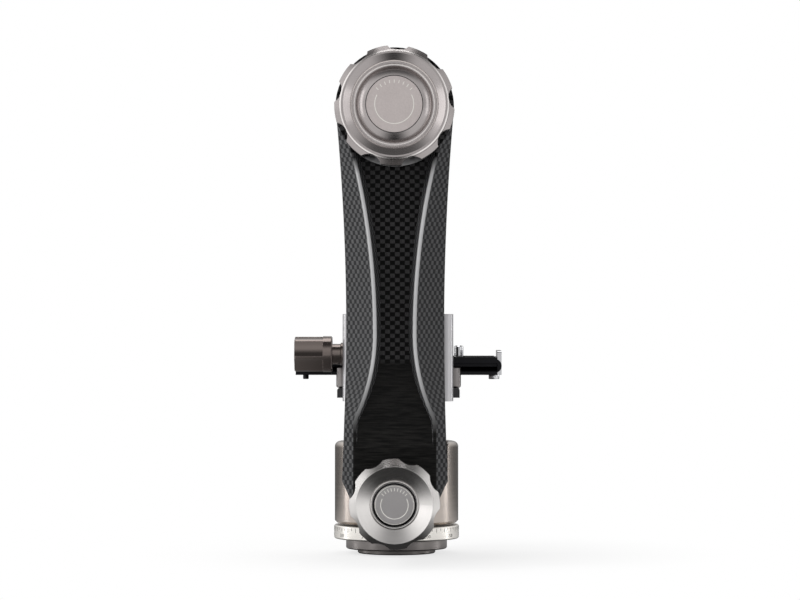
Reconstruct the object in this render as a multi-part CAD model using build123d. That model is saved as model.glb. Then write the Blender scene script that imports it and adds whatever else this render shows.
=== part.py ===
"""Gimbal tripod head: a carbon J-arm on a panning base, and a tilting rail with a lens clamp.

Frame: +Z is up and Z is the pan axis.  The tilt axis runs along Y.  The origin is the middle
of the base's bottom face.  The arm and its two big knobs stand on the -Y side.
Sizes are in millimetres.
"""
from build123d import *
import os
from math import asin, cos, radians, sin, sqrt, tan

# Clearances
running_clearance = 0.05      # radial, for round fits that turn or slide
sliding_clearance = 0.05      # for flat dovetail faces that slide
free_gap = 0.3                # between curved faces that pass each other

# Base
foot_radius = 19.0
foot_height = 2.3
base_radius = 24.7
base_height = 5.0
spigot_radius = 16.0
spigot_height = 3.0
scale_overhang = 0.3          # of the scale ring past the housing
scale_height = 6.6
edge_break = 0.5
tripod_thread_radius = 4.7625   # 3/8"-16
insert_radius = 7.0
insert_flange_radius = 9.0
insert_flange_height = 2.0
spindle_flange_radius = 18.0
spindle_flange_height = 3.4
spindle_screw_circle = 12.7
m4_radius = 2.0
m4_head_radius = 3.8
m4_head_height = 2.2

# Pan housing and its bearings
pan_gap = 1.0
housing_radius = 30.2
housing_height = 39.8
housing_top_fillet = 2.6
housing_bottom_chamfer = 1.2
tower_radius = 20.0
bearing_bore_radius = 10.0
bearing_radius = 16.0
bearing_width = 7.0
bearing_inner_wall = 2.25
pan_bearing_spread = 19.0
bearing_shoulder = 1.6
circlip_height = 1.0
circlip_groove = 0.8
sleeve_radius = 13.2
locknut_radius = 12.4
locknut_height = 2.6
locknut_slot = 2.0            # width of the four slots in each ring nut
cap_radius = 18.0
cap_height = 2.0
level_radius = 6.0
level_depth = 1.6

# Carbon arm
tilt_height = 213.0
hub_radius = 27.4
hub_length = 35.0
hub_setback = 4.0             # of the ridges and the column inside the hub's ends
waist_half_width = 23.0
waist_height = 110.0
foot_half_width = 24.65
foot_corner_height = 39.5
foot_bottom_half_width = 14.3
leg_bottom = 18.5
leg_top = 54.0
leg_end = -2.0
inner_bend_radius = 19.0
outer_bend_radius = 5.0
flank_angle = 30.0            # of the flanks, from the front-to-back direction
ridge_waist_half_width = 9.9
ridge_waist_height = 108.0
ridge_foot_half_width = 19.2
ridge_lower_radius = 90.0
ridge_upper_radius = 350.0
ridge_corner_radius = 14.0
ridge_land = 1.6              # flat top of each ridge, before its edges are rounded
channel_depth = 9.0
channel_wall_angle = 12.0
ramp_foot_drop = 53.0         # of the ramp's foot under the ridges' waist
ramp_height = 37.0
ramp_bend_radius = 30.0
ridge_roundness = 0.6        # radius of that rounding, as a share of the flat top
slot_edge_break = 0.6
m5_radius = 2.5
m5_head_radius = 4.6
m5_head_height = 2.6
arm_bolt_x = 8.5
arm_bolt_inset = 6.2          # of the bolts inside the housing's outside
arm_bolt_length = 16.0

# Pan lock
pan_lock_height = 29.6
lock_lead = 1.25
lock_turns = 1.5
shoe_radius = 5.0
shoe_length = 8.5
lock_screw_radius = 3.0
lock_screw_bore_gap = 0.4
bush_radius = 5.5
bush_flange_radius = 11.5
bush_flange_height = 1.5
bush_length = 14.0
pan_knob_radius = 20.9
pan_knob_lobes = 8
pan_knob_phase = 4.7
pan_knob_notch_depth = 1.6
pan_knob_notch_width = 8.5
pan_knob_ring_radius = 18.2
pan_knob_lobe_height = 7.0
pan_knob_height = 16.0
pan_knob_cone_radius = 11.4
pan_knob_cap_radius = 9.05

# Tilt hub
liner_radius = 21.0
liner_wall = 5.0
liner_recess = 0.5
tilt_bearing_recess = 2.5
rear_flange_radius = 24.0
rear_flange_gap = 0.5
rear_flange_thickness = 4.0
tilt_locknut_radius = 13.5
stub_radius = 6.0
disc_radius = 24.0
disc_thickness = 2.6
friction_inner_radius = 16.5
friction_thickness = 1.2
tilt_knob_radius = 27.6
tilt_knob_lobes = 9
tilt_knob_phase = 26.7
tilt_knob_notch_depth = 2.7
tilt_knob_notch_width = 9.6
tilt_knob_ring_radius = 25.2
tilt_knob_lobe_height = 9.0
tilt_knob_height = 19.0
tilt_knob_land = 1.75         # width of the front ring's flat face and chamfer
tilt_knob_cone_radius = 19.7
tilt_knob_cone_drop = 2.5
tilt_knob_ridge_drop = 1.75
tilt_knob_ridge_width = 1.0
tilt_knob_bowl_radius = 17.1
tilt_knob_bowl_drop = 3.5
tilt_knob_crest = 0.22        # how far the crest bulges, across and up
tilt_knob_cap_radius = 13.1
knob_bush_radius = 9.0
knob_back_gap = 0.5

# Swing rail
rail_half_width = 19.5
rail_thickness = 10.0
rail_bottom = 62.0
rail_top_radius = 26.0        # round top end, about the tilt axis
dovetail_half_width = 19.0
dovetail_edge = 1.6           # straight edge at the widest place of the dovetail
dovetail_depth = 2.4          # depth of its 45 degree slope
dovetail_neck = 1.6
rail_bolt_circle = 15.0
stop_head_radius = 2.6
stop_head_height = 1.8
stop_inset = 3.2

# Height clamp and platform
clamp_half_width = 25.2
fixed_jaw_extra = 2.2         # of the fixed jaw, past the width of the sliding one
clamp_bottom = 75.6
clamp_height = 41.4
clamp_back_thickness = 12.5
clamp_corner_radius = 4.0
jaw_thickness = 5.4
jaw_reach = 5.4               # of the jaws past the back of the rail
height_screw_rise = 22.25     # above the clamp's bottom
height_screw_depth = 6.0      # behind the back of the rail
clamp_screw_radius = 2.5
clamp_screw_length = 24.0
guide_pin_radius = 1.6
guide_pin_spread = 14.0
guide_pin_length = 12.0
height_knob_radius = 8.6
height_knob_lobes = 6
height_knob_phase = -10.0
height_knob_notch_depth = 1.6
height_knob_notch_width = 7.6
height_knob_grip = 13.6
height_knob_flange = 4.4
height_knob_neck_radius = 4.9
height_knob_neck = 4.0
collar_radius = 5.5
collar_thickness = 1.1
platform_x = 1.2              # middle of the platform and of the lens clamp on it
platform_gap = 4.0            # between the platform's wall and the lens clamp
platform_half_width = 29.4
platform_bottom = 76.8
platform_thickness = 4.5
platform_end = 27.5
platform_low_round = 2.6
platform_high_round = 1.0
wall_half_width = 22.0
wall_thickness = 5.0
wall_top = 115.0
platform_bolt_x = 14.0
platform_bolt_drop = 8.0      # under and over the height screw
platform_bolt_rise = 10.0
bolt_grip = 8.0

# Lens clamp
lens_clamp_half_length = 30.1
lens_clamp_half_width = 26.0
lens_seat = 87.4
lens_jaw_height = 3.5
lens_jaw_thickness = 6.2
lens_clamp_corner = 3.5
clamp_bottom_chamfer = 0.7
lens_screw_z = 84.4
lens_screw_radius = 2.0
clamp_bolt_x = 12.0
clamp_bolt_y = 13.0
lens_knob_radius = 9.0
lens_knob_lobes = 6
lens_knob_notch_depth = 1.7
lens_knob_notch_width = 8.0
lens_knob_grip = 11.0
lens_knob_neck_radius = 2.9
lens_knob_neck = 2.2
lens_pin_spread = 19.0
lens_pin_radius = 1.3

# Lens plate
plate_left = -48.7
plate_right = 49.0
plate_height = 8.5
pad_thickness = 0.3
pad_half_width = 5.0
pad_offset = 12.0
pad_margin = 1.0
lip_thickness = 2.1
lip_half_width = 16.9
lip_top = 99.0
cheek_start = 17.0            # of the plate's round cheeks, which cover the ends of the lip
cheek_radius = 3.4
cheek_x = 47.7
cheek_rise = 4.4
slot_half_width = 5.1
slot_pocket_half_width = 7.3
slot_ledge = 4.0              # thickness of the ledge that the screw heads pull on
slot_left = -27.0             # middles of the slot's round ends
slot_right = 16.0
left_stop_x = -44.4
left_stop_radius = 1.4
right_stop_radius = 2.6
lip_screw_radius = 1.25
lip_screw_length = 8.0
stop_screw_radius = 1.2
stop_screw_drop = 2.4
anti_twist_x = 30.4
anti_twist_radius = 2.3
anti_twist_top = 101.4
quarter_screw_x = -12.0
quarter_screw_radius = 3.175
three_eighths_screw_x = 6.5
camera_screw_head_radius = 6.6
camera_screw_head_height = 3.0
camera_washer_thickness = 0.8
camera_screw_stand = 5.1
camera_screw_slot = 1.5       # width and depth of the slot in the head
camera_screw_relief = 0.6     # of the plain neck under the thread
anti_twist_stem = 1.5

# Heights and places that follow from the sizes above
base_top = foot_height + base_height
spigot_top = base_top + spigot_height
scale_top = base_top + scale_height
scale_radius = housing_radius + scale_overhang
housing_bottom = scale_top + pan_gap
housing_top = housing_bottom + housing_height
lower_bearing = housing_bottom + circlip_height + edge_break
upper_bearing = lower_bearing + bearing_width + pan_bearing_spread
locknut_bottom = upper_bearing + bearing_width
bearing_split = bearing_bore_radius + bearing_inner_wall
ramp_bottom = ridge_waist_height - ramp_foot_drop
ramp_top = ramp_bottom + ramp_height
ridge_round = ridge_land * ridge_roundness
wall_back = -lens_clamp_half_width - platform_gap
clamp_back = wall_back - wall_thickness
rail_back = clamp_back - clamp_back_thickness
rail_front = rail_back - rail_thickness
rear_flange_back = rail_front
rear_flange_front = rear_flange_back - rear_flange_thickness
hub_back = rear_flange_front - rear_flange_gap
hub_front = hub_back - hub_length
ridge_y = hub_front + hub_setback
column_back = hub_back - hub_setback
height_screw_z = clamp_bottom + height_screw_rise
platform_top = platform_bottom + platform_thickness
plate_top = lens_seat + plate_height
plate_half_width = dovetail_half_width
screw_travel = lock_lead * lock_turns


def upright(radius, low, high, x=0.0, y=0.0):
    """Round bar that stands between two heights."""
    return Pos(x, y, low) * Cylinder(radius, high - low, align=(Align.CENTER, Align.CENTER, Align.MIN))


def along_y(radius, start, end, z, x=0.0):
    """Round bar that runs along Y."""
    bar = Cylinder(radius, end - start, align=(Align.CENTER, Align.CENTER, Align.MIN))
    return Pos(x, start, z) * Rot(-90, 0, 0) * bar


def along_x(radius, start, end, y, z):
    """Round bar that runs along X."""
    bar = Cylinder(radius, end - start, align=(Align.CENTER, Align.CENTER, Align.MIN))
    return Pos(start, y, z) * Rot(0, 90, 0) * bar


def block(x_range, y_range, z_range):
    """Rectangular block between two corners."""
    sizes = [high - low for low, high in (x_range, y_range, z_range)]
    corner = Pos(x_range[0], y_range[0], z_range[0])
    return corner * Box(*sizes, align=(Align.MIN, Align.MIN, Align.MIN))


def turned(*outline):
    """Solid of revolution about Z, from its (radius, height) outline."""
    return revolve(make_face(Plane.XZ * Polyline(*outline, close=True)), Axis.Z)


def prism_along_y(points, start, end):
    """Polygon of (x, z) points, drawn out along Y."""
    face = make_face(Polyline(*[(x, start, z) for x, z in points], close=True))
    return extrude(face, end - start, dir=(0, 1, 0))


def prism_along_x(points, half_width):
    """Polygon of (y, z) points, drawn out to both sides along X."""
    face = make_face(Polyline(*[(-half_width, y, z) for y, z in points], close=True))
    return extrude(face, 2 * half_width, dir=(1, 0, 0))


def facing_front(y, z, x=0.0):
    """Plane that looks towards -Y, with its own Y axis up."""
    return Plane(origin=(x, y, z), x_dir=(1, 0, 0), z_dir=(0, -1, 0))


def facing_back(y, z, x=0.0):
    """Plane that looks towards +Y, with its own Y axis up."""
    return Plane(origin=(x, y, z), x_dir=(-1, 0, 0), z_dir=(0, 1, 0))


def facing_left(x, y, z):
    """Plane that looks towards -X, with its own Y axis up."""
    return Plane(origin=(x, y, z), x_dir=(0, -1, 0), z_dir=(-1, 0, 0))


def countersunk(shank, head, head_height, length):
    """Countersunk screw with its flat head at z = 0 and its shank up along +Z."""
    return turned((0, 0), (head, 0), (shank, head_height), (shank, length), (0, length))


def lobed_blank(radius, lobes, notch_depth, notch_width, height, phase=0.0):
    """Disc of a grip knob, with a round notch scooped out between each two lobes."""
    half_angle = asin(notch_width / 2 / radius)
    root = radius - notch_depth
    scoop_centre = (radius**2 - root**2) / (2 * (radius * cos(half_angle) - root))
    scoop_radius = scoop_centre - root
    blank = upright(radius, 0, height)
    for lobe in range(lobes):
        turn = Rot(0, 0, phase + 360 / lobes * (lobe + 0.5))
        blank -= turn * upright(scoop_radius, 0, height, scoop_centre)
    return blank


def dovetail(half_width, thickness):
    """Half section of a dovetail bar, from its seat at 0 up to its thickness."""
    slope_top = dovetail_edge + dovetail_depth
    neck = dovetail_half_width - dovetail_depth
    return [
        (dovetail_half_width, 0),
        (dovetail_half_width, dovetail_edge),
        (neck, slope_top),
        (neck, slope_top + dovetail_neck),
        (half_width, slope_top + dovetail_neck),
        (half_width, thickness),
    ]


def mirrored(points):
    """Closed section from its right half."""
    return points + [(-across, up) for across, up in reversed(points)]


def bearing_ring(inner, outer, low):
    """One ring of a bearing about Z, with broken edges."""
    high = low + bearing_width
    brk = edge_break
    return turned((inner, low), (outer - brk, low), (outer, low + brk),
                  (outer, high - brk), (outer - brk, high), (inner, high))


# ---------------------------------------------------------------- base

def base_flange():
    """Turned foot: narrow seat, wider ring, and a spigot that centres the scale ring."""
    body = turned(
        (0, 0), (foot_radius - edge_break, 0), (foot_radius, edge_break), (foot_radius, foot_height),
        (base_radius - edge_break, foot_height), (base_radius, foot_height + edge_break),
        (base_radius, base_top - edge_break), (base_radius - edge_break, base_top),
        (spigot_radius, base_top), (spigot_radius, spigot_top), (0, spigot_top))
    body -= upright(insert_radius, 0, spigot_top)
    body -= upright(insert_flange_radius, spigot_top - insert_flange_height, spigot_top)
    return body - spindle_screws()


def thread_insert():
    """Steel bush with the tripod thread; its flange keeps it from being pulled out."""
    body = upright(insert_radius, 0, spigot_top)
    body += upright(insert_flange_radius, spigot_top - insert_flange_height, spigot_top)
    return body - upright(tripod_thread_radius, 0, spigot_top)


def scale_ring():
    """Ring that carries the degree marks, clamped under the spindle's flange."""
    low, high, brk = base_top, scale_top, edge_break
    body = turned((spigot_radius, low), (scale_radius - brk, low), (scale_radius, low + brk),
                  (scale_radius, high - brk), (scale_radius - brk, high), (spigot_radius, high))
    return body - upright(spindle_flange_radius, spigot_top, scale_top)


def spindle_screws():
    """Four countersunk screws from under the foot into the spindle's flange."""
    length = spigot_top + spindle_flange_height - edge_break
    screw = countersunk(m4_radius, m4_head_radius, m4_head_height, length)
    return Compound([Rot(0, 0, 45 + 90 * k) * Pos(spindle_screw_circle, 0, 0) * screw for k in range(4)])


def pan_spindle():
    """Post that the pan bearings sit on, with a wide flange on the foot."""
    flange_top = spigot_top + spindle_flange_height
    top = locknut_bottom + locknut_height
    body = upright(spindle_flange_radius, spigot_top, flange_top)
    body += upright(bearing_split - edge_break, flange_top, lower_bearing)
    body += upright(bearing_bore_radius, lower_bearing, top)
    body -= upright(tripod_thread_radius + edge_break, spigot_top, lower_bearing + bearing_width)
    return body - spindle_screws()


def brake_sleeve():
    """Hard sleeve between the bearings; the pan brake presses on it."""
    low, high = lower_bearing + bearing_width, upper_bearing
    step = bearing_split - edge_break
    return turned((bearing_bore_radius, low), (step, low), (step, low + edge_break),
                  (sleeve_radius, low + edge_break), (sleeve_radius, high - edge_break),
                  (step, high - edge_break), (step, high), (bearing_bore_radius, high))


def spindle_locknut():
    """Slotted ring nut that holds the inner rings on the post."""
    low, high = locknut_bottom, locknut_bottom + locknut_height
    step = bearing_split - edge_break
    body = upright(locknut_radius, low + edge_break, high) + upright(step, low, high)
    body -= upright(bearing_bore_radius, low, high)
    slot = block((bearing_bore_radius + edge_break, locknut_radius),
                 (-locknut_slot / 2, locknut_slot / 2), (high - locknut_slot / 2, high))
    for turn in range(4):
        body -= Rot(0, 0, 90 * turn) * slot
    return body


# ---------------------------------------------------------------- pan housing

def foot_section():
    """Front outline of the arm's foot, an octagon with long lower corners."""
    top = housing_top + housing_radius
    return mirrored([(foot_bottom_half_width, leg_bottom), (foot_half_width, foot_corner_height),
                     (foot_half_width, top)])


def pan_housing():
    """Turned housing with a bearing tower inside and a slot for the arm's foot in front."""
    low, high = housing_bottom, housing_top
    body = upright(housing_radius, low, high)
    body = chamfer(body.edges().sort_by(Axis.Z)[0], housing_bottom_chamfer)
    body = fillet(body.edges().sort_by(Axis.Z)[-1], housing_top_fillet)
    body -= prism_along_y(foot_section(), -housing_radius, leg_end) - upright(tower_radius, low, high)
    middles = [(e, e.center()) for e in body.edges()]
    mouth = [e for e, at in middles if at.Y < leg_end and leg_bottom + slot_edge_break < at.Z < high
             and abs(Vector(at.X, at.Y).length - housing_radius) < running_clearance]
    body = chamfer(mouth, slot_edge_break)
    lower_top = lower_bearing + bearing_width
    body -= upright(bearing_radius, low, lower_top)
    body -= upright(bearing_radius - bearing_shoulder, lower_top, upper_bearing)
    body -= upright(bearing_radius, upper_bearing, high - cap_height)
    body -= upright(cap_radius, high - cap_height, high)
    clip_low = lower_bearing - circlip_height
    body -= upright(bearing_radius + circlip_groove, clip_low, lower_bearing)
    body -= along_y(shoe_radius, -housing_radius, 0, pan_lock_height) & upright(tower_radius, low, high)
    return body - arm_bolts()


def bearing_circlip():
    """Open retaining ring under the lower bearing."""
    low = lower_bearing - circlip_height
    ring = upright(bearing_radius + circlip_groove, low, lower_bearing)
    ring -= upright(bearing_radius - bearing_shoulder, low, lower_bearing)
    gap = (-bearing_inner_wall, bearing_inner_wall)
    return ring - block(gap, (0, housing_radius), (low, lower_bearing))


def housing_cap():
    """Cap that closes the top of the tower, with a pocket for the level."""
    low, high = housing_top - cap_height, housing_top
    body = turned((0, low), (cap_radius, low), (cap_radius, high - edge_break),
                  (cap_radius - edge_break, high), (0, high))
    return body - upright(level_radius, high - level_depth, high)


def bubble_level():
    """Round spirit level, flush in the cap."""
    return upright(level_radius, housing_top - level_depth, housing_top)


# ---------------------------------------------------------------- carbon arm

def arm_outline():
    """Front outline of the arm: slim waist, flanks that run tangent into the round hub."""
    rise = tilt_height - waist_height
    span = hub_radius - waist_half_width
    flank = (waist_half_width**2 + rise**2 - hub_radius**2) / (2 * span)
    share = hub_radius / (flank + hub_radius)
    touch = (share * (waist_half_width + flank), tilt_height - share * rise)
    waist = (waist_half_width, waist_height)
    corner = (foot_half_width, foot_corner_height)
    half = Line((0, leg_bottom), (foot_bottom_half_width, leg_bottom))
    half += Line((foot_bottom_half_width, leg_bottom), corner)
    half += TangentArc(waist, corner, tangent=(0, -1))
    half += TangentArc(waist, touch, tangent=(0, 1))
    crown = (hub_radius * cos(radians(45)), tilt_height + hub_radius * sin(radians(45)))
    half += ThreePointArc(touch, crown, (0, tilt_height + hub_radius))
    return make_face(half + mirror(half, Plane.YZ))


def ridge_outline(inset=0.0, low=None):
    """Area between the two ridges, or the channel area set in from it."""
    low = leg_bottom if low is None else low
    waist = (ridge_waist_half_width - inset, ridge_waist_height)
    foot = ridge_foot_half_width - inset
    lower = ridge_lower_radius + inset
    upper = ridge_upper_radius + inset
    drop = sqrt(lower**2 - (lower - (foot - waist[0])) ** 2)
    rise = tilt_height - ridge_waist_height
    top = waist[0] + upper - sqrt(upper**2 - rise**2)
    half = Line((foot, low), (foot, ridge_waist_height - drop))
    half += TangentArc(waist, (foot, ridge_waist_height - drop), tangent=(0, -1))
    half += TangentArc(waist, (top, tilt_height), tangent=(0, 1))
    edges = half + mirror(half, Plane.YZ) + Line((-foot, low), (foot, low))
    face = make_face(edges + Line((-top, tilt_height), (top, tilt_height)))
    knees = [v for v in face.vertices() if abs(v.Y - (ridge_waist_height - drop)) < edge_break]
    return fillet(knees, ridge_corner_radius - inset)


def sloped(inset, depth, angle, low=None):
    """Ridge outline drawn out from the ridges to a depth, its sides leaning in by an angle."""
    start = facing_front(ridge_y, 0) * ridge_outline(inset, low)
    end = facing_front(ridge_y + depth, 0) * ridge_outline(inset + depth * tan(radians(angle)), low)
    return loft([start, end], ruled=True)


def arm_side():
    """Side outline of the arm: upright column, inner bend, and the leg back to the housing."""
    points = [(ridge_y, leg_bottom), (leg_end, leg_bottom), (leg_end, leg_top), (column_back, leg_top),
              (column_back, tilt_height), (ridge_y, tilt_height)]
    face = make_face(Plane.YZ * Polyline(*points, close=True))
    bend = face.vertices().sort_by_distance((0, column_back, leg_top))[0]
    face = fillet(bend, inner_bend_radius)
    toe = face.vertices().sort_by_distance((0, ridge_y, leg_bottom))[0]
    face = fillet(toe, outer_bend_radius)
    return extrude(face, foot_half_width + hub_radius, both=True)


def channel_cutter():
    """Room of the front channel: steep walls, a flat floor, and a ramp out at its foot."""
    depth = channel_depth
    walls = sloped(ridge_land, depth, channel_wall_angle, ramp_bottom - ramp_bend_radius)
    floor = ridge_y + depth
    points = [(ridge_y, ramp_bottom), (floor, ramp_top), (floor, tilt_height), (ridge_y, tilt_height)]
    face = make_face(Plane.YZ * Polyline(*points, close=True))
    bend = face.vertices().sort_by_distance((0, floor, ramp_top))[0]
    face = fillet(bend, ramp_bend_radius)
    return walls & extrude(face, foot_half_width, both=True)


def carbon_arm():
    """Hollow-fronted J-arm: two ridges with sloped flanks, a channel between them, and the hub."""
    front = facing_front(ridge_y, 0)
    body = extrude(front * arm_outline(), leg_end - ridge_y, dir=(0, 1, 0)) & arm_side()
    flanks = sloped(0, column_back - ridge_y, -flank_angle)
    reach = foot_half_width + hub_radius
    shell = block((-reach, reach), (ridge_y, column_back), (0, tilt_height + reach))
    body -= shell - flanks
    body -= channel_cutter()
    ridges = [e for e in body.edges() if abs(e.center().Y - ridge_y) < running_clearance
              and ramp_bottom < e.center().Z < tilt_height - hub_radius]
    body = fillet(ridges, ridge_round)
    body += along_y(hub_radius, hub_front, hub_back, tilt_height)
    body -= along_y(liner_radius, hub_front, hub_back, tilt_height)
    body -= upright(tower_radius, 0, housing_top)
    body -= along_y(shoe_radius, -tower_radius - shoe_length, 0, pan_lock_height)
    body -= along_y(lock_screw_radius + lock_screw_bore_gap, ridge_y, 0, pan_lock_height)
    body -= pan_lock_bush_blank()
    return body - arm_bolts()


def arm_bolts():
    """Two countersunk bolts from under the housing into the arm's foot."""
    bolt = countersunk(m5_radius, m5_head_radius, m5_head_height, arm_bolt_length)
    y = arm_bolt_inset - housing_radius
    return Compound([Pos(x, y, housing_bottom) * bolt for x in (-arm_bolt_x, arm_bolt_x)])


def pan_lock_bush_blank():
    """Outside of the bush that the pan lock screw turns in."""
    front = ridge_y - bush_flange_height
    body = along_y(bush_flange_radius, front, ridge_y, pan_lock_height)
    return body + along_y(bush_radius, front, ridge_y + bush_length, pan_lock_height)


def pan_lock_bush():
    """Bush in the arm's front, threaded for the pan lock screw."""
    bore = lock_screw_radius + running_clearance
    front = ridge_y - bush_flange_height
    return pan_lock_bush_blank() - along_y(bore, front, ridge_y + bush_length, pan_lock_height)


# ---------------------------------------------------------------- pan lock

shoe_face = -(sleeve_radius + free_gap)
shoe_back = shoe_face - shoe_length
pan_knob_back = ridge_y - bush_flange_height - knob_back_gap


def pan_brake_shoe():
    """Round plug with a hollow end that grips the sleeve."""
    body = along_y(shoe_radius - running_clearance, shoe_back, shoe_face + shoe_radius, pan_lock_height)
    return body - upright(-shoe_face, 0, housing_top)


def pan_lock_screw():
    """Long screw from the knob to the shoe."""
    return along_y(lock_screw_radius, pan_knob_back - pan_knob_height / 2, shoe_back, pan_lock_height)


def pan_knob():
    """Lobed knob with a wide dished front and a pocket for its cap."""
    ring, cone, cap, brk = pan_knob_ring_radius, pan_knob_cone_radius, pan_knob_cap_radius, edge_break
    high, lobe, radius = pan_knob_height, pan_knob_lobe_height, pan_knob_radius
    dish = high - (ring - cone) / 2
    profile = turned(
        (0, 0), (radius - 2 * brk, 0), (radius, 2 * brk), (radius, lobe), (ring, lobe + radius - ring),
        (ring, high - brk), (ring - brk, high), (cone, dish), (cone - brk, dish - brk),
        (cap + brk, dish - brk), (cap, dish), (cap, dish - 4 * brk), (0, dish - 4 * brk))
    blank = lobed_blank(pan_knob_radius, pan_knob_lobes, pan_knob_notch_depth, pan_knob_notch_width,
                        high, pan_knob_phase)
    knob = facing_front(pan_knob_back, pan_lock_height) * (blank & profile)
    return knob - pan_lock_screw()


def pan_knob_cap():
    """Round cap pressed into the front of the pan knob."""
    dish = pan_knob_height - (pan_knob_ring_radius - pan_knob_cone_radius) / 2
    radius, brk = pan_knob_cap_radius, edge_break
    low, high = dish - 4 * brk, dish + 3 * brk
    cap = turned((0, low), (radius, low), (radius, high - brk), (radius - brk, high), (0, high))
    return facing_front(pan_knob_back, pan_lock_height) * cap


# ---------------------------------------------------------------- tilt hub and its lock

rear_ring_back = hub_back - liner_recess
rear_ring_front = rear_ring_back - bearing_width
front_ring_front = hub_front + tilt_bearing_recess
front_ring_back = front_ring_front + bearing_width
friction_back = hub_front
disc_back = hub_front - free_gap / 2
disc_front = disc_back - disc_thickness
tilt_knob_back = disc_front - knob_back_gap
stub_front = tilt_knob_back - tilt_knob_height / 2 - stub_radius / 2


def tilt_hub_liner():
    """Metal liner bonded into the hub, with a seat for a bearing at each end."""
    body = along_y(liner_radius, hub_front + liner_recess, hub_back, tilt_height)
    body -= along_y(liner_radius - liner_wall, hub_front, front_ring_back, tilt_height)
    body -= along_y(liner_radius - liner_wall, rear_ring_front, hub_back, tilt_height)
    return body - along_y(bearing_radius - bearing_shoulder, hub_front, hub_back, tilt_height)


def tilt_rings(inner, outer):
    """The two rings of one kind in the hub."""
    ring = bearing_ring(inner, outer, 0)
    return Compound([facing_back(y, tilt_height) * ring for y in (front_ring_front, rear_ring_front)])


def tilt_spindle():
    """Shaft of the swing arm: rear flange, bearing seat, and a threaded stub for the knob."""
    flange = rear_flange_thickness
    collar = rear_flange_back - rear_ring_back
    nut = rear_flange_back - hub_front
    stub = rear_flange_back - stub_front
    body = turned((0, 0), (rear_flange_radius, 0), (rear_flange_radius, flange),
                  (bearing_split - edge_break, flange), (bearing_split - edge_break, collar),
                  (bearing_bore_radius, collar), (bearing_bore_radius, nut), (stub_radius, nut),
                  (stub_radius, stub - edge_break), (stub_radius - edge_break, stub), (0, stub))
    return facing_front(rear_flange_back, tilt_height) * body - rail_bolts()


def tilt_spacer():
    """Tube between the inner rings in the hub."""
    tube = along_y(bearing_split - edge_break, front_ring_back, rear_ring_front, tilt_height)
    return tube - along_y(bearing_bore_radius, front_ring_back, rear_ring_front, tilt_height)


def tilt_locknut():
    """Thin ring nut that holds the inner rings on the shaft."""
    nut = along_y(tilt_locknut_radius, hub_front, front_ring_front - edge_break, tilt_height)
    nut += along_y(bearing_split - edge_break, hub_front, front_ring_front, tilt_height)
    nut -= along_y(bearing_bore_radius, hub_front, front_ring_front, tilt_height)
    slot = block((bearing_bore_radius + edge_break, tilt_locknut_radius),
                 (-locknut_slot / 2, locknut_slot / 2), (0, locknut_slot / 2))
    for turn in range(4):
        nut -= facing_back(hub_front, tilt_height) * Rot(0, 0, 90 * turn) * slot
    return nut


def tilt_brake_disc():
    """Disc on the shaft that the knob pushes against the hub."""
    body = along_y(disc_radius, disc_front, disc_back, tilt_height)
    body -= along_y(stub_radius + running_clearance, disc_front, disc_back, tilt_height)
    return body - friction_ring()


def friction_ring():
    """Fibre ring set in the disc's back face."""
    start = friction_back - friction_thickness
    ring = along_y(disc_radius - edge_break * 2, start, friction_back, tilt_height)
    return ring - along_y(friction_inner_radius, start, friction_back, tilt_height)


def tilt_knob():
    """Lobed knob: front ring, sloped face, a raised ridge, and a bowl around the cap."""
    high, lobe, brk = tilt_knob_height, tilt_knob_lobe_height, edge_break
    radius, ring, cone = tilt_knob_radius, tilt_knob_ring_radius, tilt_knob_cone_radius
    bowl, cap = tilt_knob_bowl_radius, tilt_knob_cap_radius
    ridge, floor, crown = high - tilt_knob_ridge_drop, high - tilt_knob_bowl_drop, high - brk
    rim = Polyline(
        (cap, crown), (cap, floor), (0, floor), (0, 0), (radius - 2 * brk, 0), (radius, 2 * brk),
        (radius, lobe), (ring, lobe + radius - ring), (ring, high - 2 * brk), (ring - 2 * brk, high),
        (ring - tilt_knob_land, high), (cone, high - tilt_knob_cone_drop), (cone - brk / 2, ridge),
        (cone - tilt_knob_ridge_width, ridge), (cone - tilt_knob_ridge_width - brk / 2, floor),
        (bowl + brk, floor), (bowl, floor + brk))
    middle = ((bowl + cap) / 2 + tilt_knob_crest, (floor + brk + crown) / 2 + tilt_knob_crest)
    crest = ThreePointArc((bowl, floor + brk), middle, (cap, crown))
    profile = revolve(make_face(Plane.XZ * (rim + crest)), Axis.Z)
    blank = lobed_blank(radius, tilt_knob_lobes, tilt_knob_notch_depth, tilt_knob_notch_width,
                        high, tilt_knob_phase)
    knob = facing_front(tilt_knob_back, tilt_height) * (blank & profile)
    return knob - along_y(knob_bush_radius, tilt_knob_bush_front(), disc_front, tilt_height)


def tilt_knob_bush_front():
    """Front end of the threaded bush inside the tilt knob."""
    return stub_front - screw_travel - edge_break


def tilt_knob_bush():
    """Threaded steel bush pressed into the tilt knob; its back end pushes the disc."""
    bush = along_y(knob_bush_radius, tilt_knob_bush_front(), disc_front, tilt_height)
    bore = along_y(stub_radius + running_clearance, tilt_knob_bush_front(), disc_front, tilt_height)
    return bush - bore


def tilt_knob_cap():
    """Round sand-blasted cap in the front of the tilt knob."""
    low, high = tilt_knob_height - tilt_knob_bowl_drop, tilt_knob_height - edge_break / 2
    radius, brk = tilt_knob_cap_radius, edge_break / 2
    cap = turned((0, low), (radius, low), (radius, high - brk), (radius - brk, high), (0, high))
    return facing_front(tilt_knob_back, tilt_height) * cap


# ---------------------------------------------------------------- swing rail

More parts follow.
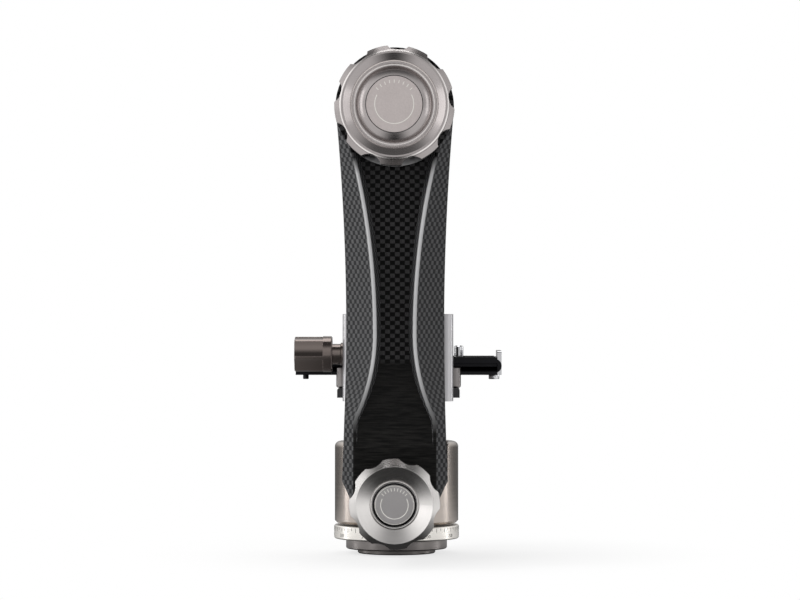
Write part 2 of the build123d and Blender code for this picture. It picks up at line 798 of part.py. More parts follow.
def swing_rail():
    """Dovetail bar that hangs from the spindle, with a round top and broken bottom corners."""
    section = mirrored(dovetail(rail_half_width, rail_thickness))
    face = make_face(Polyline(*[(x, rail_back - up, rail_bottom) for x, up in section], close=True))
    bar = extrude(face, tilt_height + rail_top_radius - rail_bottom, dir=(0, 0, 1))
    low_half = rail_half_width - stop_inset
    outline = prism_along_y([(low_half, rail_bottom), (rail_half_width, rail_bottom + stop_inset),
                             (rail_half_width, tilt_height), (-rail_half_width, tilt_height),
                             (-rail_half_width, rail_bottom + stop_inset), (-low_half, rail_bottom)],
                            rail_front, rail_back)
    outline += along_y(rail_top_radius, rail_front, rail_back, tilt_height)
    return (bar & outline) - rail_bolts() - rail_stop_screws()


def rail_bolts():
    """Four countersunk bolts through the rail into the spindle's flange."""
    length = rail_thickness + rear_flange_thickness - edge_break
    bolt = countersunk(m4_radius, m4_head_radius, m4_head_height, length)
    back = facing_front(rail_back, tilt_height)
    return Compound([back * Rot(0, 0, 45 + 90 * k) * Pos(rail_bolt_circle, 0, 0) * bolt for k in range(4)])


def rail_stop_screws():
    """Safety screws at both ends of the rail; their heads stop the height clamp."""
    screws = []
    for z in (rail_bottom + stop_inset, tilt_height + rail_top_radius - stop_inset):
        head = along_y(stop_head_radius, rail_back, rail_back + stop_head_height, z)
        screws.append(head + along_y(stop_screw_radius, rail_back - rail_thickness / 2, rail_back, z))
    return Compound(screws)


# ---------------------------------------------------------------- clamps

def hook(reach):
    """Inner points of a clamp jaw, from the seat up along the dovetail's slope."""
    wide = dovetail_half_width + sliding_clearance
    slope = min(dovetail_depth, reach - dovetail_edge)
    points = [(wide, 0), (wide, dovetail_edge), (wide - slope, dovetail_edge + slope)]
    if reach > dovetail_edge + slope:
        points.append((wide - slope, reach))
    return points


def fixed_section(half_width, thickness, back, reach, extra=0.0):
    """Section of a clamp body: seat, and one jaw that is part of it."""
    split, outside = half_width - thickness - free_gap, half_width + extra
    return [(-split, -back), (-split, 0)] + hook(reach) + [(outside, reach), (outside, -back)]


def jaw_section(half_width, thickness, back, reach):
    """Section of the jaw that slides, on the other side of the bar."""
    split = half_width - thickness
    inner = [(-across, up) for across, up in hook(reach)]
    return [(-split, -back), (-split, 0)] + inner + [(-half_width, reach), (-half_width, -back)]


def height_clamp_blank(section):
    """Clamp section (x, up from the rail's back), drawn out over the clamp's height."""
    face = make_face(Polyline(*[(x, rail_back - up, clamp_bottom) for x, up in section], close=True))
    body = extrude(face, clamp_height, dir=(0, 0, 1))
    upright_edges = body.edges().filter_by(Axis.Z)
    outer = [e for e in upright_edges if abs(e.center().X) > clamp_half_width - edge_break]
    return fillet(outer, clamp_corner_radius)


height_screw_y = rail_back + height_screw_depth


def height_guide_pins():
    """Two pins in the clamp body that the sliding jaw runs on."""
    start = -clamp_half_width + 2 * edge_break
    places = (height_screw_z - guide_pin_spread, height_screw_z + guide_pin_spread)
    return Compound([along_x(guide_pin_radius, start, start + guide_pin_length, height_screw_y, z)
                     for z in places])


def height_clamp_body():
    """Clamp body behind the rail, with its fixed jaw on the +X side."""
    section = fixed_section(clamp_half_width, jaw_thickness, clamp_back_thickness, jaw_reach,
                            fixed_jaw_extra)
    body = height_clamp_blank(section)
    bore_end = -clamp_half_width + clamp_screw_length + edge_break
    body -= along_x(clamp_screw_radius + running_clearance, -clamp_half_width, bore_end,
                    height_screw_y, height_screw_z)
    return body - height_guide_pins() - platform_bolts()


def height_clamp_jaw():
    """Jaw that slides along X and grips the rail."""
    section = jaw_section(clamp_half_width, jaw_thickness, clamp_back_thickness, jaw_reach)
    body = height_clamp_blank(section)
    outside, bore = -clamp_half_width, clamp_screw_radius + running_clearance
    body -= along_x(bore, outside, 0, height_screw_y, height_screw_z)
    for z in (height_screw_z - guide_pin_spread, height_screw_z + guide_pin_spread):
        body -= along_x(guide_pin_radius + running_clearance, outside + edge_break, 0, height_screw_y, z)
    return body


def height_knob_collar():
    """Washer with turned rings between the jaw and its knob."""
    hole = clamp_screw_radius + running_clearance
    ring = turned((hole, 0), (collar_radius, 0), (collar_radius, collar_thickness - edge_break / 2),
                  (collar_radius - edge_break / 2, collar_thickness), (hole, collar_thickness))
    return facing_left(-clamp_half_width, height_screw_y, height_screw_z) * ring


def height_clamp_screw():
    """Screw from the height knob through the jaw into the clamp body."""
    outer = -clamp_half_width - collar_thickness - height_knob_neck - height_knob_flange
    return along_x(clamp_screw_radius, outer, -clamp_half_width + clamp_screw_length,
                   height_screw_y, height_screw_z)


def height_knob():
    """Turned knob: neck, round flange, and a long lobed grip."""
    neck, flange = height_knob_neck, height_knob_neck + height_knob_flange
    end, radius, brk = flange + height_knob_grip, height_knob_radius, edge_break
    profile = turned((0, 0), (height_knob_neck_radius, 0), (height_knob_neck_radius, neck),
                     (radius - brk, neck), (radius, neck + brk), (radius, end - brk),
                     (radius - brk, end), (0, end))
    grip = Pos(0, 0, flange) * lobed_blank(radius, height_knob_lobes, height_knob_notch_depth,
                                           height_knob_notch_width, height_knob_grip,
                                           height_knob_phase)
    body = profile & (grip + upright(radius, 0, flange))
    place = facing_left(-clamp_half_width - collar_thickness, height_screw_y, height_screw_z)
    return place * body - height_clamp_screw()


# ---------------------------------------------------------------- platform and lens clamp

def platform():
    """Bracket: a wall on the back of the height clamp and a foot under the lens clamp."""
    foot = block((platform_x - platform_half_width, platform_x + platform_half_width),
                 (clamp_back, platform_end), (platform_bottom, platform_top))
    ends = [e for e in foot.edges().filter_by(Axis.Z) if e.center().Y > 0]
    foot = fillet(ends, lens_clamp_corner)
    for face, size in ((foot.faces().sort_by(Axis.Z)[0], platform_low_round),
                       (foot.faces().sort_by(Axis.Z)[-1], platform_high_round)):
        foot = fillet(face.edges().filter_by(Axis.Y), size)
    wall = block((-wall_half_width, wall_half_width), (clamp_back, wall_back),
                 (platform_bottom, wall_top))
    corners = [e for e in wall.edges().filter_by(Axis.Y) if e.center().Z > platform_top]
    wall = fillet(corners, lens_clamp_corner * 2)
    return foot + wall - platform_bolts() - clamp_bolts()


def platform_bolts():
    """Four countersunk bolts through the wall into the height clamp."""
    bolt = countersunk(m4_radius, m4_head_radius, m4_head_height, wall_thickness + bolt_grip)
    heights = (height_screw_z - platform_bolt_drop, height_screw_z + platform_bolt_rise)
    return Compound([facing_front(wall_back, z, x) * bolt for x in (-platform_bolt_x, platform_bolt_x)
                     for z in heights])


def lens_clamp_blank(section):
    """Clamp section (along -Y, up from the seat), drawn out along X with broken corners."""
    half, wide = lens_clamp_half_length, lens_clamp_half_width
    body = prism_along_x([(-across, lens_seat + up) for across, up in section], half)
    corners = [e for e in body.edges().filter_by(Axis.Z) if abs(abs(e.center().Y) - wide) < edge_break]
    body = fillet(corners, lens_clamp_corner)
    low = block((-half, half), (-wide, wide), (platform_top, lens_seat + jaw_reach))
    low = fillet(low.edges().filter_by(Axis.Z), lens_clamp_corner)
    low = chamfer(low.faces().sort_by(Axis.Z)[0].edges(), clamp_bottom_chamfer)
    return Pos(platform_x, 0, 0) * (body & low)


lens_pin_places = (platform_x - lens_pin_spread, platform_x + lens_pin_spread)


def lens_guide_pins():
    """Two pins in the lens clamp that its sliding jaw runs on."""
    end = lens_clamp_half_width - 2 * edge_break
    return Compound([along_y(lens_pin_radius, end - guide_pin_length, end, lens_screw_z, x)
                     for x in lens_pin_places])


def lens_clamp_body():
    """Lens clamp on the platform: seat and fixed jaw."""
    section = fixed_section(lens_clamp_half_width, lens_jaw_thickness, lens_seat - platform_top,
                            lens_jaw_height)
    body = lens_clamp_blank(section)
    bore_end = lens_clamp_half_width - clamp_screw_length - edge_break
    body -= along_y(lens_screw_radius + running_clearance, bore_end, lens_clamp_half_width,
                    lens_screw_z, platform_x)
    return body - lens_guide_pins() - clamp_bolts()


def clamp_bolts():
    """Four countersunk bolts from under the platform into the lens clamp."""
    bolt = countersunk(m4_radius, m4_head_radius, m4_head_height, lens_seat - platform_bottom - m4_radius)
    places = (platform_x - clamp_bolt_x, platform_x + clamp_bolt_x)
    return Compound([Pos(x, y, platform_bottom) * bolt for x in places
                     for y in (-clamp_bolt_y, clamp_bolt_y)])


def lens_clamp_jaw():
    """Jaw that slides along Y and grips the lens plate."""
    section = jaw_section(lens_clamp_half_width, lens_jaw_thickness, lens_seat - platform_top,
                          lens_jaw_height)
    body = lens_clamp_blank(section)
    outside, pin_bore = lens_clamp_half_width, lens_pin_radius + running_clearance
    body -= along_y(lens_screw_radius + running_clearance, 0, outside, lens_screw_z, platform_x)
    for x in lens_pin_places:
        body -= along_y(pin_bore, 0, outside - edge_break, lens_screw_z, x)
    return body


def lens_clamp_screw():
    """Screw from the lens knob through the jaw into the clamp body."""
    outer = lens_clamp_half_width + lens_knob_neck + lens_knob_grip / 2
    return along_y(lens_screw_radius, lens_clamp_half_width - clamp_screw_length, outer,
                   lens_screw_z, platform_x)


def lens_knob():
    """Short lobed knob behind the lens clamp."""
    neck, end = lens_knob_neck, lens_knob_neck + lens_knob_grip
    radius, brk = lens_knob_radius, edge_break
    profile = turned((0, 0), (lens_knob_neck_radius, 0), (lens_knob_neck_radius, neck),
                     (radius - brk, neck), (radius, neck + brk), (radius, end - brk),
                     (radius - brk, end), (0, end))
    grip = Pos(0, 0, neck) * lobed_blank(radius, lens_knob_lobes, lens_knob_notch_depth,
                                         lens_knob_notch_width, lens_knob_grip)
    body = profile & (grip + upright(lens_knob_neck_radius, 0, neck))
    return facing_back(lens_clamp_half_width, lens_screw_z, platform_x) * body - lens_clamp_screw()


# ---------------------------------------------------------------- lens plate

pocket_top = plate_top - slot_ledge


def long_slot(half_width, low, high):
    """Room of a slot with round ends, along X."""
    room = block((slot_left, slot_right), (-half_width, half_width), (low, high))
    return room + upright(half_width, low, high, slot_left) + upright(half_width, low, high, slot_right)


def lens_plate():
    """Dovetail plate with a long slot and a pocket under it for the screw heads."""
    section = mirrored(dovetail(plate_half_width, plate_height))
    face = make_face(Polyline(*[(plate_left, y, lens_seat + up) for y, up in section], close=True))
    body = extrude(face, plate_right - plate_left, dir=(1, 0, 0))
    body -= long_slot(slot_half_width, lens_seat, plate_top)
    body -= long_slot(slot_pocket_half_width, lens_seat, pocket_top)
    cheeks = along_y(cheek_radius, -plate_half_width, plate_half_width, lens_seat + cheek_rise, cheek_x)
    for side in ((-plate_half_width, -cheek_start), (cheek_start, plate_half_width)):
        body += cheeks & block((plate_right, plate_right + cheek_radius), side, (lens_seat, plate_top))
    return body - stop_screws() - anti_twist_pin() - lip_screws()


def plate_pads():
    """Two rubber strips on the plate."""
    span = (plate_left + pad_margin, plate_right - pad_margin)
    strips = [block(span, (y - pad_half_width, y + pad_half_width), (plate_top, plate_top + pad_thickness))
              for y in (-pad_offset, pad_offset)]
    return Compound([fillet(strip.edges().filter_by(Axis.Z), 2 * edge_break) for strip in strips])


def plate_lip():
    """Upright lip across the plate's end, which the lens foot butts against."""
    lip = block((plate_right, plate_right + lip_thickness), (-lip_half_width, lip_half_width),
                (lens_seat, lip_top))
    lip = fillet([e for e in lip.edges().filter_by(Axis.X) if e.center().Z > plate_top], 3 * edge_break)
    return lip - lip_screws()


def lip_screws():
    """Two small countersunk screws that hold the lip to the plate's end."""
    screw = countersunk(lip_screw_radius, lip_screw_radius * 2, lip_screw_radius, lip_screw_length)
    side = Plane(origin=(plate_right + lip_thickness, 0, (pocket_top + plate_top) / 2),
                 x_dir=(0, 1, 0), z_dir=(-1, 0, 0))
    return Compound([side * Pos(y, 0, 0) * screw for y in (-pad_offset, pad_offset)])


def stop_screws():
    """A screw under each end of the plate that stops it in the open clamp."""
    screws = []
    for x, head in ((left_stop_x, left_stop_radius), (cheek_x, right_stop_radius)):
        screw = upright(head, lens_seat - stop_screw_drop, lens_seat, x)
        screws.append(screw + upright(stop_screw_radius, lens_seat, pocket_top, x))
    return Compound(screws)


def anti_twist_pin():
    """Pin that keeps the lens foot from turning on the plate, pressed in by its stem."""
    brk = edge_break
    pin = turned((0, pocket_top), (anti_twist_stem, pocket_top), (anti_twist_stem, plate_top),
                 (anti_twist_radius, plate_top), (anti_twist_radius, anti_twist_top - brk),
                 (anti_twist_radius - brk, anti_twist_top), (0, anti_twist_top))
    return Pos(anti_twist_x, 0, 0) * pin


def camera_washer(thread_radius, x):
    """Washer between a camera screw's head and the plate."""
    low = pocket_top - camera_washer_thickness
    disc = upright(camera_screw_head_radius, low, pocket_top, x)
    return disc - upright(thread_radius + running_clearance, low, pocket_top, x)


def camera_screw(thread_radius, x):
    """Camera screw with a slotted head, a plain neck, and its thread above the plate."""
    seat = pocket_top - camera_washer_thickness
    low = seat - camera_screw_head_height
    thread_start = plate_top + pad_thickness
    top = thread_start + camera_screw_stand
    head, brk, neck = camera_screw_head_radius, edge_break, thread_radius - camera_screw_relief
    body = turned((0, low), (head - brk, low), (head, low + brk), (head, seat), (neck, seat),
                  (neck, thread_start), (thread_radius, thread_start),
                  (thread_radius, top - brk), (thread_radius - brk, top), (0, top))
    slot = camera_screw_slot
    return Pos(x, 0, 0) * (body - block((-head, head), (-slot / 2, slot / 2), (low, low + slot)))


# ---------------------------------------------------------------- all pieces

def pan_rings(inner, outer):
    """The two rings of one kind on the pan axis."""
    return Compound([bearing_ring(inner, outer, low) for low in (lower_bearing, upper_bearing)])


outer_ring_bore = bearing_split + running_clearance

pieces = {
    "base_flange": base_flange(),
    "thread_insert": thread_insert(),
    "scale_ring": scale_ring(),
    "spindle_screws": spindle_screws(),
    "pan_spindle": pan_spindle(),
    "pan_bearing_inners": pan_rings(bearing_bore_radius, bearing_split),
    "brake_sleeve": brake_sleeve(),
    "spindle_locknut": spindle_locknut(),
    "pan_housing": pan_housing(),
    "pan_bearing_outers": pan_rings(outer_ring_bore, bearing_radius),
    "bearing_circlip": bearing_circlip(),
    "housing_cap": housing_cap(),
    "bubble_level": bubble_level(),
    "carbon_arm": carbon_arm(),
    "arm_bolts": arm_bolts(),
    "pan_lock_bush": pan_lock_bush(),
    "tilt_hub_liner": tilt_hub_liner(),
    "tilt_bearing_outers": tilt_rings(outer_ring_bore, bearing_radius),
    "pan_brake_shoe": pan_brake_shoe(),
    "pan_lock_screw": pan_lock_screw(),
    "pan_knob": pan_knob(),
    "pan_knob_cap": pan_knob_cap(),
    "tilt_spindle": tilt_spindle(),
    "tilt_bearing_inners": tilt_rings(bearing_bore_radius, bearing_split),
    "tilt_spacer": tilt_spacer(),
    "tilt_locknut": tilt_locknut(),
    "swing_rail": swing_rail(),
    "rail_bolts": rail_bolts(),
    "rail_stop_screws": rail_stop_screws(),
    "tilt_brake_disc": tilt_brake_disc(),
    "friction_ring": friction_ring(),
    "tilt_knob": tilt_knob(),
    "tilt_knob_cap": tilt_knob_cap(),
    "tilt_knob_bush": tilt_knob_bush(),
    "height_clamp_body": height_clamp_body(),
    "height_guide_pins": height_guide_pins(),
    "platform": platform(),
    "platform_bolts": platform_bolts(),
    "lens_clamp_body": lens_clamp_body(),
    "lens_guide_pins": lens_guide_pins(),
    "clamp_bolts": clamp_bolts(),
    "height_clamp_jaw": height_clamp_jaw(),
    "height_knob_collar": height_knob_collar(),
    "height_clamp_screw": height_clamp_screw(),
    "height_knob": height_knob(),
    "lens_clamp_jaw": lens_clamp_jaw(),
    "lens_clamp_screw": lens_clamp_screw(),
    "lens_knob": lens_knob(),
    "lens_plate": lens_plate(),
    "plate_pads": plate_pads(),
    "plate_lip": plate_lip(),
    "lip_screws": lip_screws(),
    "stop_screws": stop_screws(),
    "anti_twist_pin": anti_twist_pin(),
    "quarter_washer": camera_washer(quarter_screw_radius, quarter_screw_x),
    "quarter_screw": camera_screw(quarter_screw_radius, quarter_screw_x),
    "three_eighths_washer": camera_washer(tripod_thread_radius, three_eighths_screw_x),
    "three_eighths_screw": camera_screw(tripod_thread_radius, three_eighths_screw_x),
}

os.makedirs("parts", exist_ok=True)
for name, piece in pieces.items():
    export_step(piece, f"parts/{name}.step")
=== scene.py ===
"""Gimbal tripod head for a long lens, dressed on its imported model.

The sections follow the head as it is put together, from the foot up to the lens plate.
Sizes are written in millimetres, times mm.
"""
from math import cos, pi, radians, sin

import bpy
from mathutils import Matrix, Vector


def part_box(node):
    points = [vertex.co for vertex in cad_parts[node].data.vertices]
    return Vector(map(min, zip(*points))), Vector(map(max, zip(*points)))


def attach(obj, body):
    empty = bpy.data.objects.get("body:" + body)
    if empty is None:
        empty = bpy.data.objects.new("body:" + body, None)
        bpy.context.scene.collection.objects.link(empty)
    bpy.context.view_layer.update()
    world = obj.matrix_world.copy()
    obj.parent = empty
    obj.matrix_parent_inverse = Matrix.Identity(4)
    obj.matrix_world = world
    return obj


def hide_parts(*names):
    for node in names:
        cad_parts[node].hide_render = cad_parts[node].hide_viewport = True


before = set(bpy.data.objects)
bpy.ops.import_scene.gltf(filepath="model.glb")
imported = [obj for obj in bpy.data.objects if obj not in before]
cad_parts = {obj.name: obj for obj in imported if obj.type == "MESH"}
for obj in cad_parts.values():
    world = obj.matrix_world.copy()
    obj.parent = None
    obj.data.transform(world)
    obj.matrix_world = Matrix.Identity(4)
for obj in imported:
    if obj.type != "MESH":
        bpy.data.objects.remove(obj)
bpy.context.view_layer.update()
mm = 0.001

# ---- Studio: a white sweep with soft boxes at the sides and above, in a room that is dim behind the head.
# The floor and the air are white to the camera; other rays see a graded room, bright to the sides and dim
# overhead and behind. The floor near the foot takes shadow, and to metal it is dim behind the head and in a strip
# before it.


def linear(colour):
    """sRGB hex colour as the linear one that a socket takes."""
    parts = [int(colour[i:i + 2], 16) / 255 for i in (1, 3, 5)]
    return [c / 12.92 if c <= 0.04045 else ((c + 0.055) / 1.055) ** 2.4 for c in parts] + [1.0]


def node(owner, kind, links, **settings):
    """Adds one shader node; links gives each input its value, or the socket that feeds it."""
    made = owner.node_tree.nodes.new("ShaderNode" + kind)
    for name, value in settings.items():
        setattr(made, name, value)
    for name, value in links.items():
        if isinstance(value, bpy.types.NodeSocket):
            owner.node_tree.links.new(value, made.inputs[name])
        else:
            made.inputs[name].default_value = value
    return made.outputs


def bare(owner):
    """The same material or world with its nodes cleared."""
    owner.use_nodes = True
    owner.node_tree.nodes.clear()
    return owner


lens = bpy.data.cameras.new("camera")
lens.sensor_width, lens.lens, lens.clip_end = 36, 156.2, 20
camera = bpy.data.objects.new("camera", lens)
camera.location, camera.rotation_euler = (0.01505, -1.7, 0.1237), (pi / 2, 0, radians(0.45))
bpy.context.collection.objects.link(camera)
bpy.context.scene.camera = camera
bpy.context.scene.view_settings.view_transform = "Standard"

air = bare(bpy.data.worlds.new("air"))
bpy.context.scene.world = air
way = node(air, "SeparateXYZ", {0: node(air, "TexCoord", {})["Generated"]})
room = node(air, "ValToRGB", {0: node(air, "MapRange", {"Value": way["Y"], "From Min": -1.0, "From Max": 1.0})[0]})
ramp = air.node_tree.nodes["Color Ramp"].color_ramp
ramp.interpolation = "B_SPLINE"
for spot, level in ((0.01, 0.8), (0.07, 0.75), (0.2, 0.75), (0.45, 1.05), (0.64, 1.0), (0.75, 0.36), (0.9, 0.28)):
    ramp.elements.new(spot).color = (level, level, level, 1)
ramp.elements.remove(ramp.elements[0])
ramp.elements.remove(ramp.elements[-1])
below = node(air, "MapRange", {"Value": way["Z"], "From Min": -0.75, "From Max": -0.15, "To Min": 0.35})[0]
above = node(air, "MapRange", {"Value": way["Z"], "From Min": 0.1, "From Max": 0.45})[0]
zenith = node(air, "MapRange", {"Value": way["Z"], "From Min": 0.6, "From Max": 0.85, "To Min": 1.0, "To Max": 0.15})[0]
room = node(air, "Mix", {0: above, 2: room["Color"], 3: zenith})[0]
room = node(air, "Math", {0: room, 1: below}, operation="MULTIPLY")[0]
left = node(air, "MapRange", {"Value": way["X"], "From Min": -0.8, "From Max": 0.8, "To Min": 1.15, "To Max": 0.85})[0]
room = node(air, "Math", {0: room, 1: left}, operation="MULTIPLY")[0]
rays = node(air, "LightPath", {})
straight = node(air, "Math", {0: rays["Is Camera Ray"], 1: rays["Is Transmission Ray"]}, operation="MAXIMUM")[0]
light = node(air, "Background", {"Color": (1, 1, 1, 1), "Strength": node(air, "Mix", {
    0: straight, 2: room, 3: 1.0})[0]})[0]
node(air, "OutputWorld", {"Surface": light})

for name, place, aim, size, power in (
        ("strip box left", (-0.75, -0.5, 0.2), 0.13, (0.16, 0.8), 0.7),
        ("strip box right", (0.75, -0.5, 0.16), 0.13, (0.16, 0.8), 0.55),
        ("edge box left", (-0.8, 0.22, 0.2), 0.13, (0.1, 0.7), 1.3),
        ("edge box right", (0.8, 0.22, 0.2), 0.13, (0.1, 0.7), 1.1),
        ("soft box above", (0.0, 0.2, 0.95), 0.13, (0.5, 0.5), 2.2),
        ("fill left", (-0.3, -0.14, 0.33), 0.2, (0.12, 0.12), 0.65)):
    box = bpy.data.lights.new(name, "AREA")
    box.shape, box.size, box.size_y, box.energy = "RECTANGLE", *size, power
    lamp = bpy.data.objects.new(name, box)
    lamp.location = place
    lamp.rotation_euler = (Vector((0, 0, aim)) - lamp.location).to_track_quat("-Z", "Y").to_euler()
    lamp.visible_camera, lamp.visible_glossy = False, name != "fill left"
    bpy.context.collection.objects.link(lamp)

bpy.ops.object.select_all(action="DESELECT")
bpy.ops.mesh.primitive_plane_add(size=8, location=(0, 0, -0.2 * mm))
floor = bpy.context.object
floor.name = "floor"
bpy.ops.object.transform_apply()
sweep = bare(bpy.data.materials.new("white paper sweep"))
reach = node(sweep, "VectorMath", {0: node(sweep, "TexCoord", {})["Object"]}, operation="LENGTH")["Value"]
near = node(sweep, "MapRange", {"Value": reach, "From Min": 0.04, "From Max": 0.17, "To Min": 0.72,
                                "To Max": 1.0}, interpolation_type="SMOOTHSTEP")["Result"]
aside = node(sweep, "Mapping", {"Vector": node(sweep, "TexCoord", {})["Object"], "Location": (0, 0.03, 0),
                                "Scale": (2.2, 0.17, 1.0)})[0]
aside = node(sweep, "VectorMath", {0: aside}, operation="LENGTH")["Value"]
far = node(sweep, "MapRange", {"Value": aside, "From Min": 0.05, "From Max": 0.25, "To Min": 0.04,
                               "To Max": 1.0})["Result"]
back = node(sweep, "MapRange", {"Value": node(sweep, "SeparateXYZ", {
    0: node(sweep, "TexCoord", {})["Object"]})["Y"], "From Min": 0.05, "From Max": 0.3, "To Min": 1.0,
    "To Max": 0.12}, interpolation_type="SMOOTHSTEP")["Result"]
far = node(sweep, "Math", {0: far, 1: back}, operation="MULTIPLY")[0]
rays = node(sweep, "LightPath", {})
seen = node(sweep, "Math", {0: rays["Is Camera Ray"], 1: rays["Is Transmission Ray"]}, operation="MAXIMUM")[0]
share = node(sweep, "Math", {0: seen, 1: near}, operation="MULTIPLY")[0]
share = node(sweep, "Math", {0: share, 1: rays["Is Glossy Ray"]}, operation="MAXIMUM")[0]
paper = node(sweep, "BsdfDiffuse", {"Color": linear("#F6F6F6")})[0]
white = node(sweep, "Emission", {"Strength": node(sweep, "Mix", {0: rays["Is Glossy Ray"], 2: 1.0, 3: far})[0]})[0]
top = node(sweep, "MixShader", {0: share, 1: paper, 2: white})[0]
below = node(sweep, "NewGeometry", {})["Backfacing"]
clear = node(sweep, "BsdfTransparent", {})[0]
node(sweep, "OutputMaterial", {"Surface": node(sweep, "MixShader", {0: below, 1: top, 2: clear})[0]})
floor.data.materials.append(sweep)

# ---- Foot: a turned and anodised flange with a steel thread bush and four black screws.
# The lathe leaves fine rings about the axis, real ones 0.1 mm apart, drawn coarser to show.


def turned(name, colour, roughness, about, axis, ring=0.4, stretch=0.3, highlight_radii=()):
    """Anodised aluminium from the lathe: faint rings about the axis, satin, with pale rings painted at given radii as
    the highlights of edges.
    """
    material = bare(bpy.data.materials.new(name))
    low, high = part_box(about)
    tilt = {"X": (0, pi / 2, 0), "Y": (pi / 2, 0, 0), "Z": (0, 0, 0)}[axis]
    where = node(material, "Mapping", {"Vector": node(material, "TexCoord", {})["Object"],
                                       "Location": (low + high) / 2, "Rotation": tilt}, vector_type="TEXTURE")[0]
    level = node(material, "VectorMath", {0: where, 1: (1, 1, 0)}, operation="MULTIPLY")[0]
    radius = node(material, "VectorMath", {0: level}, operation="LENGTH")["Value"]
    along = node(material, "SeparateXYZ", {0: where})["Z"]
    rings = node(material, "CombineXYZ", {0: radius, 1: along})[0]
    marks = node(material, "TexNoise", {"Vector": rings, "Scale": 1 / (ring * mm), "Detail": 1.0},
                 noise_dimensions="2D")["Fac"]
    shine = node(material, "MapRange", {"Value": marks, "From Min": 0.3, "From Max": 0.7,
                                        "To Min": roughness * 0.92, "To Max": roughness * 1.08})["Result"]
    tone = node(material, "Mix", {0: marks, 6: [c * 0.96 for c in linear(colour)[:3]] + [1], 7: linear(colour)},
                data_type="RGBA")[2]
    # painted highlight: a pale ring 0.6 mm wide at each given radius, where a chamfered edge catches the light
    for highlight_radius in highlight_radii:
        on_highlight = node(material, "Math", {0: radius, 1: highlight_radius * mm, 2: 0.3 * mm}, operation="COMPARE")[0]
        tone = node(material, "Mix", {0: on_highlight, 6: tone, 7: linear("#E6E1DF")}, data_type="RGBA")[2]
    edge = node(material, "Bevel", {"Radius": 0.25 * mm}, samples=4)[0]
    relief = node(material, "Bump", {"Height": marks, "Strength": 0.05, "Distance": 0.02 * mm, "Normal": edge})[0]
    grain = node(material, "Tangent", {}, direction_type="RADIAL", axis=axis)[0]
    body = node(material, "BsdfPrincipled", {"Base Color": tone, "Metallic": 1.0, "Roughness": shine,
                                             "Anisotropic": stretch, "Anisotropic Rotation": 0.25,
                                             "Tangent": grain, "Normal": relief})[0]
    node(material, "OutputMaterial", {"Surface": body})
    return material


def dress(material, *names):
    """Gives CAD nodes one material."""
    for name in names:
        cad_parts[name].data.materials.clear()
        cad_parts[name].data.materials.append(material)


dress(turned("gunmetal anodised foot", "#8E8987", 0.30, "base_flange", "Z"), "base_flange")
dress(turned("ground steel bush", "#A9A9AA", 0.25, "thread_insert", "Z"), "thread_insert")


def primitive(kind, name, **where):
    """Adds one primitive at its size and place, alone in the selection, with its object at the origin."""
    bpy.ops.object.select_all(action="DESELECT")
    getattr(bpy.ops.mesh, f"primitive_{kind}_add")(**where)
    piece = bpy.context.object
    piece.name = piece.data.name = name
    bpy.ops.object.transform_apply()
    return piece


def pick(piece, wanted, mode="FACE"):
    """Opens a piece in edit mode with only the faces selected whose centre and normal pass the test."""
    bpy.ops.object.select_all(action="DESELECT")
    bpy.context.view_layer.objects.active = piece
    piece.select_set(True)
    bpy.context.tool_settings.mesh_select_mode = (False, False, True)
    for part in list(piece.data.vertices) + list(piece.data.edges):
        part.select = False
    for face in piece.data.polygons:
        face.select = wanted(face.center / mm, face.normal)
    bpy.ops.object.mode_set(mode="EDIT")
    if mode == "EDGE":
        bpy.ops.mesh.region_to_loop()


def shape(operator, **settings):
    """Runs one edit-mode operator on what is selected."""
    getattr(bpy.ops.mesh, operator)(**settings)


def done():
    bpy.ops.object.mode_set(mode="OBJECT")


def around(piece, count, centre, axis, turn=360.0):
    """Repeats a piece round an axis, in one mesh, spread over a turn."""
    pick(piece, lambda c, n: True)
    step = turn / count if turn == 360 else turn / (count - 1)
    shape("spin", steps=count - 1, dupli=True, angle=radians(step * (count - 1)), center=[c * mm for c in centre],
          axis=axis)
    done()
    return piece


def modify(piece, kind, **settings):
    """Adds one modifier and applies it."""
    modifier = piece.modifiers.new(kind, kind)
    for name, value in settings.items():
        setattr(modifier, name, value)
    bpy.ops.object.select_all(action="DESELECT")
    bpy.context.view_layer.objects.active = piece
    piece.select_set(True)
    bpy.ops.object.modifier_apply(modifier=kind)
    return piece


def cut(piece, tool, operation="DIFFERENCE"):
    """Cuts a piece with another one, which is used up."""
    modify(piece, "BOOLEAN", object=tool, operation=operation, solver="EXACT")
    bpy.data.objects.remove(tool)
    return piece


def join(name, pieces):
    """Several pieces as one."""
    bpy.ops.object.select_all(action="DESELECT")
    for piece in pieces:
        piece.select_set(True)
    bpy.context.view_layer.objects.active = pieces[0]
    bpy.ops.object.join()
    pieces[0].name = pieces[0].data.name = name
    return pieces[0]


def fit(piece, material, body, slot, *stands_for, angle=35):
    """Smooths a finished piece, gives it its material, and lets it ride on its body; slot is not used."""
    bpy.ops.object.select_all(action="DESELECT")
    bpy.context.view_layer.objects.active = piece
    piece.select_set(True)
    bpy.ops.object.shade_smooth_by_angle(angle=radians(angle))
    piece.data.materials.clear()
    piece.data.materials.append(material)
    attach(piece, body)
    if stands_for:
        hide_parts(*stands_for)
    return piece


black_oxide = bare(bpy.data.materials.new("black oxide steel"))
grit = node(black_oxide, "TexNoise", {"Vector": node(black_oxide, "TexCoord", {})["Object"],
                                      "Scale": 1 / (0.3 * mm), "Detail": 2.0})["Fac"]
shine = node(black_oxide, "MapRange", {"Value": grit, "To Min": 0.25, "To Max": 0.5})["Result"]
node(black_oxide, "OutputMaterial", {"Surface": node(black_oxide, "BsdfPrincipled", {
    "Base Color": linear("#2A2A2C"), "Metallic": 1.0, "Roughness": shine,
    "Normal": node(black_oxide, "Bump", {"Height": grit, "Strength": 0.2, "Distance": 0.02 * mm})[0]})[0]})


